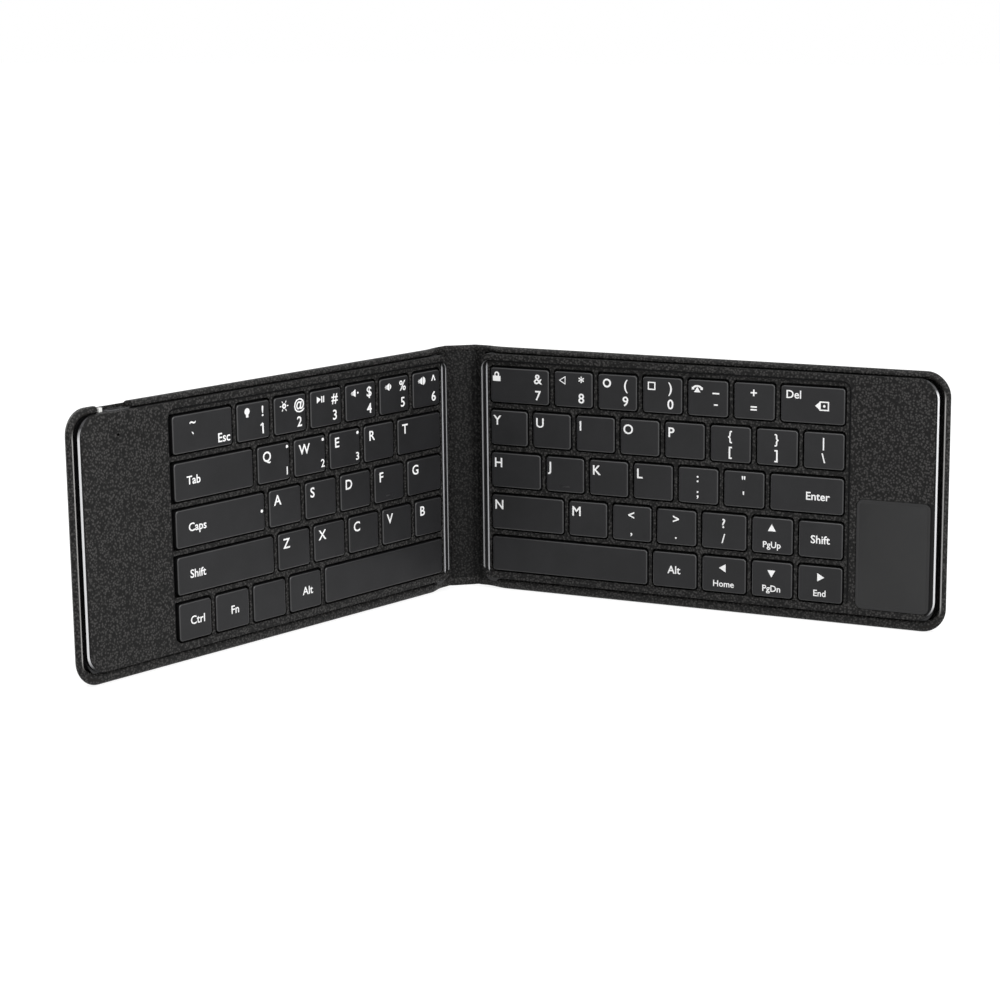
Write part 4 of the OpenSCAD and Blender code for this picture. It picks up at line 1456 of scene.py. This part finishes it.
@dataclass(frozen=True)
class KeyGroup:
    """A run of neighbouring keys in one row of one half, which share a node and a body.

    Attributes:
        name: Name of the node and of the body.
        side: The half that it is on.
        row: Its row, counted from the standing edge.
        first: Place of its first key in the row, counted from the spine.
        legends: What is printed on each key, from the spine outwards.
    """

    name: str
    side: Side
    row: int
    first: int
    legends: Sequence[Sequence[Words | Mark]]


@dataclass(frozen=True)
class KeyLayout:
    """Places of the keys, as on the solids.

    Attributes:
        pitch: From key to key along a row, in millimetres.
        row_pitch: From row to row.
        gap: Gap between two keys of a row.
        row_gap: Gap between two rows.
        start: Panel x where the key field starts.
        bottom: Height of its lower edge.
        lengths: Length of the key field of each half.
        trims: How far its outermost keys end before the field does.
        rows: Widths in pitches of the keys in each row, from the spine outwards, but for the outermost key.
    """

    pitch: float = 17.0
    row_pitch: float = 15.53
    gap: float = 1.7
    row_gap: float = 2.1
    start: float = 8.3
    bottom: float = 6.8
    lengths: dict[Side, float] = field(default_factory=lambda: {Side.LEFT: 128.707, Side.RIGHT: 134.504})
    trims: dict[Side, float] = field(default_factory=lambda: {Side.LEFT: 1.1, Side.RIGHT: 0.9})
    rows: dict[Side, Sequence[Sequence[float]]] = field(default_factory=lambda: {
        Side.LEFT: ((3.603, 1, 1, 1), (0.89, 1, 1, 1, 1), (1.104, 1, 1, 1, 1), (1.381, 1, 1, 1, 1),
                    (0.897, 1, 1, 1, 1, 1)),
        Side.RIGHT: ((3.665, 1.1, 1.085, 1), (1.756, 1, 1, 1, 1.094, 1), (1.232, 1, 1, 1, 1, 1),
                     (0.932, 1, 1, 1, 1, 1, 1), (1.436, 1, 1, 1, 1, 1)),
    })

    @property
    def key_height(self) -> float:
        """Height of a cap."""
        return self.row_pitch - self.row_gap

    def span(self, side: Side, row: int, index: int) -> Pair:
        """Where a cap starts and ends along its row.

        Args:
            side: The half.
            row: The row.
            index: The key, counted from the spine.

        Returns:
            Its low and high panel x.
        """
        widths = self.rows[side][row]
        low = self.start if index == 0 else self.start + sum(widths[:index]) * self.pitch + self.gap / 2
        last = index == len(widths)
        end = self.lengths[side] - self.trims[side]
        high = end if last else sum(widths[: index + 1]) * self.pitch - self.gap / 2
        return low, self.start + high

    def row_low(self, row: int) -> float:
        """Height of a row's lower edge."""
        return self.bottom + row * self.row_pitch


HOMING = (letter("F"), letter("J"))


@dataclass(frozen=True)
class KeyWeb:
    """The thin leather web between the keys of a half.

    Attributes:
        half: The half that it belongs to.
        area: The key field and its surround.
        layout: Places of the keys.
        front: Depth of its front.
        back: Depth of its back.
        fit: Gap between the web and the surround.
        corner: Radius of its corners.
        gap: Gap round each key.
        open_end: How far the holes of the left half reach past its outermost keys, where it has no web.
        hole_corner: Pair radius of the holes.
    """

    half: Half
    area: KeyArea
    layout: KeyLayout
    front: float = 0.5
    back: float = 3.35
    fit: float = 0.05
    corner: float = 1.2
    gap: float = 0.3
    open_end: float = 4.0
    hole_corner: float = 1.6

    def build(self, finishes: Finishes) -> bpy.types.Object:
        """Models the web.

        Args:
            finishes: The materials.

        Returns:
            The web.
        """
        side = self.half.side
        low_x, _, low_z, high_z = self.area.opening
        end = self.area.start + self.area.length + self.area.web_end
        web = add_rounded(f"{side.value}_web_leather", (low_x + self.fit, self.front, low_z + self.fit),
                          (end, self.back, high_z - self.fit), self.corner, 4)
        carve(web, self._holes())
        smooth(web, 30)
        place(web, self.half)
        finishes.dress(web, "panel_leather")
        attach(web, self.half.body)
        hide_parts(f"{side.value}_key_web")
        return web

    def _holes(self) -> bpy.types.Object:
        """One tool with a shape for the hole of each key."""
        width = 10.0
        height = self.layout.key_height + 2 * self.gap
        pattern = add_rounded("hole_pattern", (0, -1, 0), (width, 5, height), self.hole_corner, 5)
        holes = []
        for row, widths in enumerate(self.layout.rows[self.half.side]):
            for index in range(len(widths) + 1):
                low, high = self.layout.span(self.half.side, row, index)
                open_end = self.half.side is Side.LEFT and index == len(widths)
                reach = high + (self.open_end if open_end else self.gap)
                bottom = self.layout.row_low(row) - self.gap
                holes.append(stretched(pattern, width, low - self.gap, reach, bottom))
        bpy.data.objects.remove(pattern)
        return join("web_holes", holes)


KEY_GROUPS = (
    KeyGroup("escape_key", Side.LEFT, 4, 6, [[
        Words("~", Spot.OUTER_UPPER, SIGN), Words("`", Spot.OUTER_LOWER, SIGN),
        Words("Esc", Spot.WORD_LOW_RIGHT, 3.0)]]),
    KeyGroup("number_keys_left", Side.LEFT, 4, 0, [
        number("^", "6", LOUDER), number("%", "5", SOFTER), number("$", "4", QUIET),
        number("#", "3", PLAY), number("@", "2", SUN), number("!", "1", LAMP)]),
    KeyGroup("tab_key", Side.LEFT, 3, 5, [word("Tab", Spot.WORD_LEFT)]),
    KeyGroup("top_letter_keys_left", Side.LEFT, 3, 0, [
        letter("T"), letter("R"), channel("E", "3"), channel("W", "2"), channel("Q", "1")]),
    KeyGroup("caps_key", Side.LEFT, 2, 5, [word("Caps", Spot.WORD_LEFT) + [light_dot(-2.6, 6.7)]]),
    KeyGroup("home_letter_keys_left", Side.LEFT, 2, 0, [letter(text) for text in "GFDSA"]),
    KeyGroup("left_shift_key", Side.LEFT, 1, 5, [word("Shift", Spot.WORD_LEFT)]),
    KeyGroup("bottom_letter_keys_left", Side.LEFT, 1, 0, [letter(text) for text in "BVCXZ"]),
    KeyGroup("control_key", Side.LEFT, 0, 4, [word("Ctrl", Spot.MIDDLE)]),
    KeyGroup("function_key", Side.LEFT, 0, 3, [word("Fn", Spot.MIDDLE)]),
    KeyGroup("system_key", Side.LEFT, 0, 2, [[]]),
    KeyGroup("left_alt_key", Side.LEFT, 0, 1, [word("Alt", Spot.MIDDLE)]),
    KeyGroup("left_space_key", Side.LEFT, 0, 0, [[]]),
    KeyGroup("number_keys_right", Side.RIGHT, 4, 0, [
        number("&", "7", LOCK), number("*", "8", BACK), number("(", "9", HOME), number(")", "0", RECENT),
        UNDERSCORE + CALL, pair("+", "=")]),
    KeyGroup("backspace_key", Side.RIGHT, 4, 6, [word("Del", Spot.WORD_TOP_LEFT) + TAG]),
    KeyGroup("top_letter_keys_right", Side.RIGHT, 3, 0, [letter(text) for text in "YUIOP"] + [
        pair("{", "["), pair("}", "]"), pair("|", "\\")]),
    KeyGroup("home_letter_keys_right", Side.RIGHT, 2, 0, [letter(text) for text in "HJKL"] + [
        pair(":", ";"), pair('"', "'")]),
    KeyGroup("enter_key", Side.RIGHT, 2, 6, [word("Enter", Spot.WORD_RIGHT)]),
    KeyGroup("bottom_letter_keys_right", Side.RIGHT, 1, 0, [
        letter("N"), letter("M"), pair("<", ","), pair(">", "."), pair("?", "/")]),
    KeyGroup("up_key", Side.RIGHT, 1, 5, [arrow(0, "PgUp")]),
    KeyGroup("right_shift_key", Side.RIGHT, 1, 6, [word("Shift", Spot.MIDDLE)]),
    KeyGroup("right_space_key", Side.RIGHT, 0, 0, [[]]),
    KeyGroup("right_alt_key", Side.RIGHT, 0, 1, [word("Alt", Spot.MIDDLE)]),
    KeyGroup("left_arrow_key", Side.RIGHT, 0, 2, [arrow(90, "Home")]),
    KeyGroup("down_key", Side.RIGHT, 0, 3, [arrow(180, "PgDn")]),
    KeyGroup("right_arrow_key", Side.RIGHT, 0, 4, [arrow(-90, "End")]),
)


class Keys:
    """Keycaps and their legends.

    Attributes:
        recess: Depth of a cap's face.
        skirt_end: Depth where its skirt ends.
        cap_top: Thickness of its top.
        cap_wall: Thickness of its sides.
        corner: Pair radius of its foot.
        foot: Depth where its sides start to slope.
        slope: How far they lean in, and over which rise.
        bevel: Rounding of the rim.
        dish_rim: Width of the flat rim round the dish.
        dish_depth: Depth of the dish.
        bump: Width, height and rise of the bar on a homing key.
        bump_height: Height of that bar above the key's lower edge.
        top_trim: How much lower a cap is than its place in the row.
        pattern_width: Width of the pattern cap.
        facing_limits: How far the faces of the sides and of the rim look forward, at most.
        print_height: Half the thickness of a print, which stands out of the cap's face.
        print_shift: How far the prints stand to the right, by the half's seen value.
        capital_share: Height of a capital as a share of the text's size.
        stroke: Width of a drawn line.
        stroke_height: Height of the letters that this width belongs to.
        boldness: How much of it is added to the outline of a letter.
        round_corners: Number of corners of a ring that is drawn round.
        arc_start: Where an arc starts on its ring, from the middle, as a share of the ring's width.
    """

    recess = 0.2
    skirt_end = 2.3
    cap_top = 0.8
    cap_wall = 0.9
    corner = 1.4
    foot = 1.4
    slope = (0.25, 0.8)
    bevel = 0.4
    dish_rim = 0.3
    dish_depth = 0.04
    bump = (3.4, 0.5, 0.16)
    bump_height = 2.3
    top_trim = 0.35
    pattern_width = 15.3
    facing_limits = (0.45, 0.97)
    print_height = 0.02
    print_shift: dict[int, float] = {1: -0.2, -1: 1.0}
    capital_share = 0.7
    stroke = 0.32
    stroke_height = 3.7
    boldness = 0.22
    round_corners = 24
    arc_start = 0.12

    def __init__(self, halves: Sequence[Half], finishes: Finishes) -> None:
        """Keeps what all keys share and models the pattern cap."""
        self.halves = {half.side: half for half in halves}
        self.finishes = finishes
        self.layout = KeyLayout()
        self.pattern = self._pattern_cap()

    def build(self, group: KeyGroup) -> list[bpy.types.Object]:
        """Models the caps and the legends of a group.

        Args:
            group: The keys.

        Returns:
            The caps as one piece and, where there is one, the print as another.
        """
        half = self.halves[group.side]
        caps, prints = [], []
        for offset, legend in enumerate(group.legends):
            low, high = self.layout.span(group.side, group.row, group.first + offset)
            bottom = self.layout.row_low(group.row)
            caps.append(self._cap(low, high, bottom))
            if legend in HOMING:
                caps.append(self._bump((low + high) / 2, bottom + self.bump_height))
            left_edge = low if half.seen > 0 else high
            for mark in legend:
                prints.append(self._printed(mark, high - low, half.seen, left_edge, bottom))
        whole = join(f"{group.name}_cap", caps)
        # Rims get the painted highlight, and the caps' sides get the darker frame plastic as painted shade.
        pieces = [self._finish(whole, ("key_plastic", "key_rim_painted_highlight", "frame_plastic"), group, half)]
        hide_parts(group.name)
        if prints:
            pieces.append(self._finish(join(f"{group.name}_print", prints), ("legend_print",), group, half))
        return pieces

    def remove_pattern(self) -> None:
        """Deletes the cap that the others were copied from."""
        bpy.data.objects.remove(self.pattern)

    def _finish(self, item: bpy.types.Object, names: Sequence[str], group: KeyGroup,
                half: Half) -> bpy.types.Object:
        """Smooths, places, dresses and attaches a piece of a key group."""
        smooth(item)
        self.finishes.dress(item, *names)
        if len(names) > 1:
            self._paint_rim_highlight_and_side_shade(item)
        place(item, half)
        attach(item, group.name)
        return item

    def _paint_rim_highlight_and_side_shade(self, caps: bpy.types.Object) -> None:
        """Gives the rounded rims a glossier finish in a lighter colour, a painted highlight, and the sides of the
        caps the darker frame plastic, painted shade.
        """
        side_limit, rim_limit = self.facing_limits
        for polygon in caps.data.polygons:
            facing = -polygon.normal.y
            if abs(facing) < side_limit:
                polygon.material_index = 2
            elif side_limit <= facing < rim_limit:
                polygon.material_index = 1

    def _pattern_cap(self) -> bpy.types.Object:
        """Models one cap with sloping sides and a slightly dished top, hollow behind."""
        height = self.layout.key_height - self.top_trim
        cap = add_rounded("pattern_cap", (0, self.foot, 0), (self.pattern_width, self.skirt_end, height),
                          self.corner, 6)
        quarter = bead_steps(2 * self.bevel, self.bevel, 6)[:3]
        with editing(cap):
            pick(cap, Pick.FACES, lambda at, normal: normal.y < -ALONG)
            step_in([self.slope] + quarter + [(self.dish_rim, 0)])
            bpy.ops.mesh.poke(offset=-self.dish_depth)
            pick(cap, Pick.FACES, lambda at, normal: normal.y > ALONG)
            step_in([(self.cap_wall, 0), (0.02, self.recess + self.cap_top - self.skirt_end)])
        return cap

    def _cap(self, low: float, high: float, bottom: float) -> bpy.types.Object:
        """Copies the pattern cap and stretches it to a width.

        Args:
            low: Low panel x.
            high: High panel x.
            bottom: Height of its lower edge.

        Returns:
            The cap in panel coordinates.
        """
        return stretched(self.pattern, self.pattern_width, low, high, bottom)

    def _bump(self, x: float, z: float) -> bpy.types.Object:
        """Models the small bar that marks a homing key.

        Args:
            x: Panel x of its middle.
            z: Height of its middle.

        Returns:
            The bar in panel coordinates.
        """
        width, height, rise = self.bump
        bar = add_block("bump", (x - width / 2, self.recess - rise, z - height / 2),
                        (x + width / 2, self.recess + self.cap_top / 2, z + height / 2))
        with editing(bar):
            round_edges(bar, lambda at, run: at.y < self.recess and abs(run.y) < 0.1, 0.12, 3)
        return bar

    def _printed(self, mark: Words | Mark, width: float, seen: int, left_edge: float,
                 bottom: float) -> bpy.types.Object:
        """Models a printed sign or shape on a cap.

        Args:
            mark: What is printed.
            width: Width of the cap.
            seen: 1 or -1, as for the half.
            left_edge: Panel x of the edge that is at the left as the keys are read.
            bottom: Height of the cap's lower edge.

        Returns:
            The print in panel coordinates.
        """
        if isinstance(mark, Words):
            x, z, align = mark.spot.value
            item = self._letters(mark, align)
        else:
            x, z = mark.x, mark.z
            item = self._shape(mark)
        across = (width / 2 if x is None else x if x >= 0 else width + x) + self.print_shift[seen]
        front = self.recess + self.print_height / 2
        stand = Matrix.Rotation(math.pi / 2, 4, "X")
        item.data.transform(stand)
        item.data.transform(Matrix.Diagonal((seen, 1, 1, 1)))
        if seen < 0:
            item.data.flip_normals()
        item.data.transform(Matrix.Translation((left_edge + seen * across, front, bottom + z)))
        return item

    def _letters(self, words: Words, align: str) -> bpy.types.Object:
        """Models letters as a thin solid that lies flat, its middle height at the origin.

        Args:
            words: The letters.
            align: LEFT, CENTER or RIGHT.

        Returns:
            The mesh.
        """
        text = add_object(bpy.ops.object.text_add).data
        text.body = words.text
        text.size = words.height / self.capital_share
        text.align_x = align
        text.resolution_u = 3
        text.extrude = self.print_height
        text.offset = self.boldness * self.stroke * words.height / self.stroke_height
        bpy.ops.object.convert(target="MESH")
        item = bpy.context.object
        item.data.transform(Matrix.Translation((0, -words.height / 2, 0)))
        return item

    def _shape(self, mark: Mark) -> bpy.types.Object:
        """Models a printed shape as a thin solid that lies flat at the origin.

        Args:
            mark: The shape.

        Returns:
            The mesh.
        """
        make = bpy.ops.mesh
        if mark.shape is Shape.BAR:
            item = add_object(make.primitive_cube_add, size=1)
        elif mark.shape is Shape.TRIANGLE:
            item = add_object(make.primitive_cylinder_add, vertices=3, radius=1 / math.sqrt(3), depth=1)
        elif mark.shape is Shape.DISC:
            item = add_object(make.primitive_cylinder_add, vertices=20, radius=0.5, depth=1)
        else:
            corners = {Shape.SQUARE: 4, Shape.WEDGE: 3}.get(mark.shape, self.round_corners)
            reach = {4: math.sqrt(0.5), 3: 1 / math.sqrt(3)}.get(corners, 0.5)
            wall = self.stroke / mark.width
            item = add_object(make.primitive_torus_add, major_segments=corners, minor_segments=4,
                              major_radius=reach - wall, minor_radius=wall)
            if corners < self.round_corners:
                item.data.transform(Matrix.Rotation(math.pi / corners, 4, "Z"))
        if mark.shape is Shape.ARC:
            with editing(item):
                cut_at(item, self.arc_start, keep_low=False)
        flat = self.print_height * 2 / max(0.001, item.dimensions.z)
        item.data.transform(Matrix.Diagonal((mark.width, mark.height, flat, 1)))
        item.data.transform(Matrix.Rotation(math.radians(mark.turn), 4, "Z"))
        return item


# ---------- Touchpad ----------


@dataclass(frozen=True)
class Touchpad:
    """The smooth touchpad of the right half.

    Attributes:
        half: The half that it belongs to.
        low_x: Low panel x.
        high_x: High panel x.
        low_z: Height of its lower edge.
        high_z: Height of its upper edge.
        corner: Radius of its corners.
        recess: Depth of its face.
        rim: Rounding of its rim.
        border: Distance of the border line from its edge.
        ledge: Width of the frame's ledge behind it.
        gap: Gap to the leather on three sides.
        open_end: How far the opening in the leather goes on past its outer end.
    """

    half: Half
    low_x: float = 146.3
    high_x: float = 172.1
    low_z: float = 6.2
    high_z: float = 44.4
    corner: float = 2.4
    recess: float = 0.05
    rim: float = 0.18
    border: float = 0.9
    ledge: float = 1.0
    gap: float = 0.1
    open_end: float = 4.0

    def opening(self, gap: float, outer_gap: float) -> Edges:
        """Edges of an opening for the pad.

        Args:
            gap: Gap on three sides, negative for a ledge.
            outer_gap: Gap at the outer end.

        Returns:
            Low and high x, low and high z.
        """
        return self.low_x - gap, self.high_x + outer_gap, self.low_z - gap, self.high_z + gap

    def build(self, finishes: Finishes) -> bpy.types.Object:
        """Models the pad with a soft rim and a fine border line.

        Args:
            finishes: The materials.

        Returns:
            The pad.
        """
        rim = self.rim
        pad = add_rounded("touchpad_glass", (self.low_x, self.recess + rim, self.low_z),
                          (self.high_x, PANEL.skin_thickness, self.high_z), self.corner, 8)
        with editing(pad):
            pick(pad, Pick.FACES, lambda at, normal: normal.y < -ALONG)
            step_in(bead_steps(2 * rim, rim, 6)[:3])
            step_in([(self.border - rim, 0), (0.08, -0.05), (0.1, 0), (0.08, 0.05)])
        smooth(pad)
        place(pad, self.half)
        finishes.dress(pad, "touchpad_surface")
        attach(pad, self.half.body)
        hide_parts("touchpad")
        return pad


# ---------- Studio ----------


@dataclass(frozen=True)
class Camera:
    """The camera at the photograph's viewing angle.

    Attributes:
        place: Its place in metres.
        yaw: Its turn to the right in degrees, from looking along y.
        pitch: How far it looks down, in degrees.
        roll: How far it leans, in degrees.
        lens: Focal length in millimetres.
        sensor: Width of the sensor in millimetres.
    """

    place: Point = (0.339413, -0.709676, 0.214556)
    yaw: float = -26.1032
    pitch: float = 11.5924
    roll: float = -0.6592
    lens: float = 89.51
    sensor: float = 36.0

    def build(self) -> None:
        """Adds the camera to the scene."""
        yaw, pitch, roll = (math.radians(angle) for angle in (self.yaw, self.pitch, self.roll))
        forward = Vector((math.sin(yaw) * math.cos(pitch), math.cos(yaw) * math.cos(pitch), -math.sin(pitch)))
        right = Vector((math.cos(yaw), -math.sin(yaw), 0))
        up = right.cross(forward)
        across = right * math.cos(roll) + up * math.sin(roll)
        upward = up * math.cos(roll) - right * math.sin(roll)
        data = bpy.data.cameras.new("camera")
        data.lens = self.lens
        data.sensor_width = self.sensor
        data.clip_start = 0.01
        camera = bpy.data.objects.new("camera", data)
        turn = Matrix((across, upward, -forward)).transposed()
        camera.matrix_world = Matrix.Translation(self.place) @ turn.to_4x4()
        bpy.context.collection.objects.link(camera)
        bpy.context.scene.camera = camera


@dataclass(frozen=True)
class Softbox:
    """An area light that faces the keyboard.

    Attributes:
        name: Name of the light.
        place: Its place in metres.
        size: Width and height in metres.
        power: Power in watts.
        target: The point that it faces.
    """

    name: str
    place: Point
    size: Pair
    power: float
    target: Point = (0, 0.02, 0.045)

    def build(self) -> None:
        """Adds the light to the scene."""
        data = bpy.data.lights.new(self.name, "AREA")
        data.shape = "RECTANGLE"
        data.size, data.size_y = self.size
        data.energy = self.power
        light = bpy.data.objects.new(self.name, data)
        light.visible_camera = False
        aim = Vector(self.target) - Vector(self.place)
        turn = aim.to_track_quat("-Z", "Y").to_matrix()
        light.matrix_world = Matrix.Translation(self.place) @ turn.to_4x4()
        bpy.context.collection.objects.link(light)


class Studio:
    """Pale floor, white surroundings, soft lights and the camera.

    Attributes:
        softboxes: The lights.
        floor_reach: How far the floor goes on from the middle, in metres.
        floor_depth: How far it lies below the standing edge, in metres.
        floor_colour: Its colour for the light that it gives back.
        floor_seen: Its colour where the camera sees it.
        floor_glow: How bright it shines there.
        surround_light: Strength of the surroundings as light.
    """

    softboxes = (
        Softbox("right_softbox", (1.3, -0.45, 0.7), (1.3, 1.3), 16),
        Softbox("left_softbox", (-1.2, 0.2, 0.8), (1.1, 1.1), 8),
        Softbox("top_softbox", (0.1, -0.6, 1.5), (1.4, 1.4), 14),
    )
    floor_reach = 6.0
    floor_depth = 0.0002
    floor_colour: Colour = (0.8, 0.8, 0.8)
    floor_seen: Colour = (0.3, 0.3, 0.3)
    floor_glow = 0.8
    surround_light = 0.45

    def build(self) -> None:
        """Adds everything to the scene."""
        Camera().build()
        for softbox in self.softboxes:
            softbox.build()
        self._floor()
        self._surroundings()
        bpy.context.scene.view_settings.view_transform = "Standard"

    def _floor(self) -> None:
        """Adds the floor, which looks white but keeps the shadow."""
        floor = add_object(bpy.ops.mesh.primitive_plane_add, size=2 * self.floor_reach,
                           location=(0, 0, -self.floor_depth))
        floor.name = "studio_floor"
        bpy.ops.object.transform_apply(location=True, rotation=True, scale=True)
        graph = Graph("studio_floor")
        graph.set(Roughness=0.9, Emission_Color=(1, 1, 1, 1))
        seen = self._seen(graph.tree)
        graph.ramp(seen, self.floor_colour, self.floor_seen, 0.0, 1.0)
        graph.link(graph.spread(seen, 0.0, self.floor_glow), "Emission Strength")
        floor.data.materials.append(graph.material)

    def _seen(self, tree: bpy.types.NodeTree) -> bpy.types.NodeSocket:
        """Adds nodes that tell whether a ray shows a surface to the camera, in a reflection or through glass.

        Args:
            tree: The material's or the world's nodes.

        Returns:
            A value that is 1 for such a ray.
        """
        path = add_node(tree, "LightPath", {})
        seen = path.outputs["Is Camera Ray"]
        for name in ("Is Glossy Ray", "Is Transmission Ray"):
            seen = add_node(tree, "Math", {0: seen, 1: path.outputs[name]}, "MAXIMUM").outputs["Value"]
        return seen

    def _surroundings(self) -> None:
        """Sets the world: white where it is seen, softer as light."""
        world = bpy.data.worlds.new("studio")
        bpy.context.scene.world = world
        world.use_nodes = True
        tree = world.node_tree
        background = tree.nodes["Background"]
        background.inputs["Color"].default_value = (1, 1, 1, 1)
        level = add_node(tree, "MapRange", {"Value": self._seen(tree)}, To_Min=self.surround_light,
                         To_Max=1.0)
        tree.links.new(level.outputs["Result"], background.inputs["Strength"])


# ---------- The whole keyboard ----------


def dress_solids(finishes: Finishes) -> int:
    """Gives every solid of the frame its finish, as the record's slots say.

    Args:
        finishes: The materials.

    Returns:
        How many solids were dressed.
    """
    slots = {part["node"]: part["material_slot"] for part in frame["record"]["subparts"]}
    for node, item in frame["nodes"].items():
        finishes.dress(item, slots[node])
    return len(slots)


def main() -> None:
    """Builds the keyboard and its studio in order."""
    logging.basicConfig(level=logging.INFO, format="%(name)s: %(message)s")
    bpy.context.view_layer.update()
    creases = Creases.from_joints(frame["joints"])
    right, left = creases.halves()
    finishes = Finishes()
    LOG.info("dressed %d solids", dress_solids(finishes))
    for half in (right, left):
        for piece in Cover(half, creases).build(finishes):
            LOG.info("leather: %s", piece.name)
    pad = Touchpad(right)
    layout = KeyLayout()
    right_area = KeyArea(length=layout.lengths[Side.RIGHT], web_end=0.3, skin_end=0.0)
    left_area = KeyArea(length=layout.lengths[Side.LEFT], web_end=0.1, skin_end=-0.5)
    fronts = (
        FrontFrame(right, right_area, pad_hole=pad.opening(-pad.ledge, -pad.ledge)),
        FrontFrame(left, left_area),
        FrontSkin(right, right_area, pad_hole=pad.opening(pad.gap, pad.open_end)),
        FrontSkin(left, left_area, light=STATUS_LIGHT),
        KeyWeb(right, right_area, layout),
        KeyWeb(left, left_area, layout),
        pad,
    )
    for front in fronts:
        LOG.info("front: %s", front.build(finishes).name)
    keys = Keys((right, left), finishes)
    for group in KEY_GROUPS:
        for piece in keys.build(group):
            LOG.info("keys: %s", piece.name)
    keys.remove_pattern()
    Studio().build()


if __name__ == "__main__":
    main()
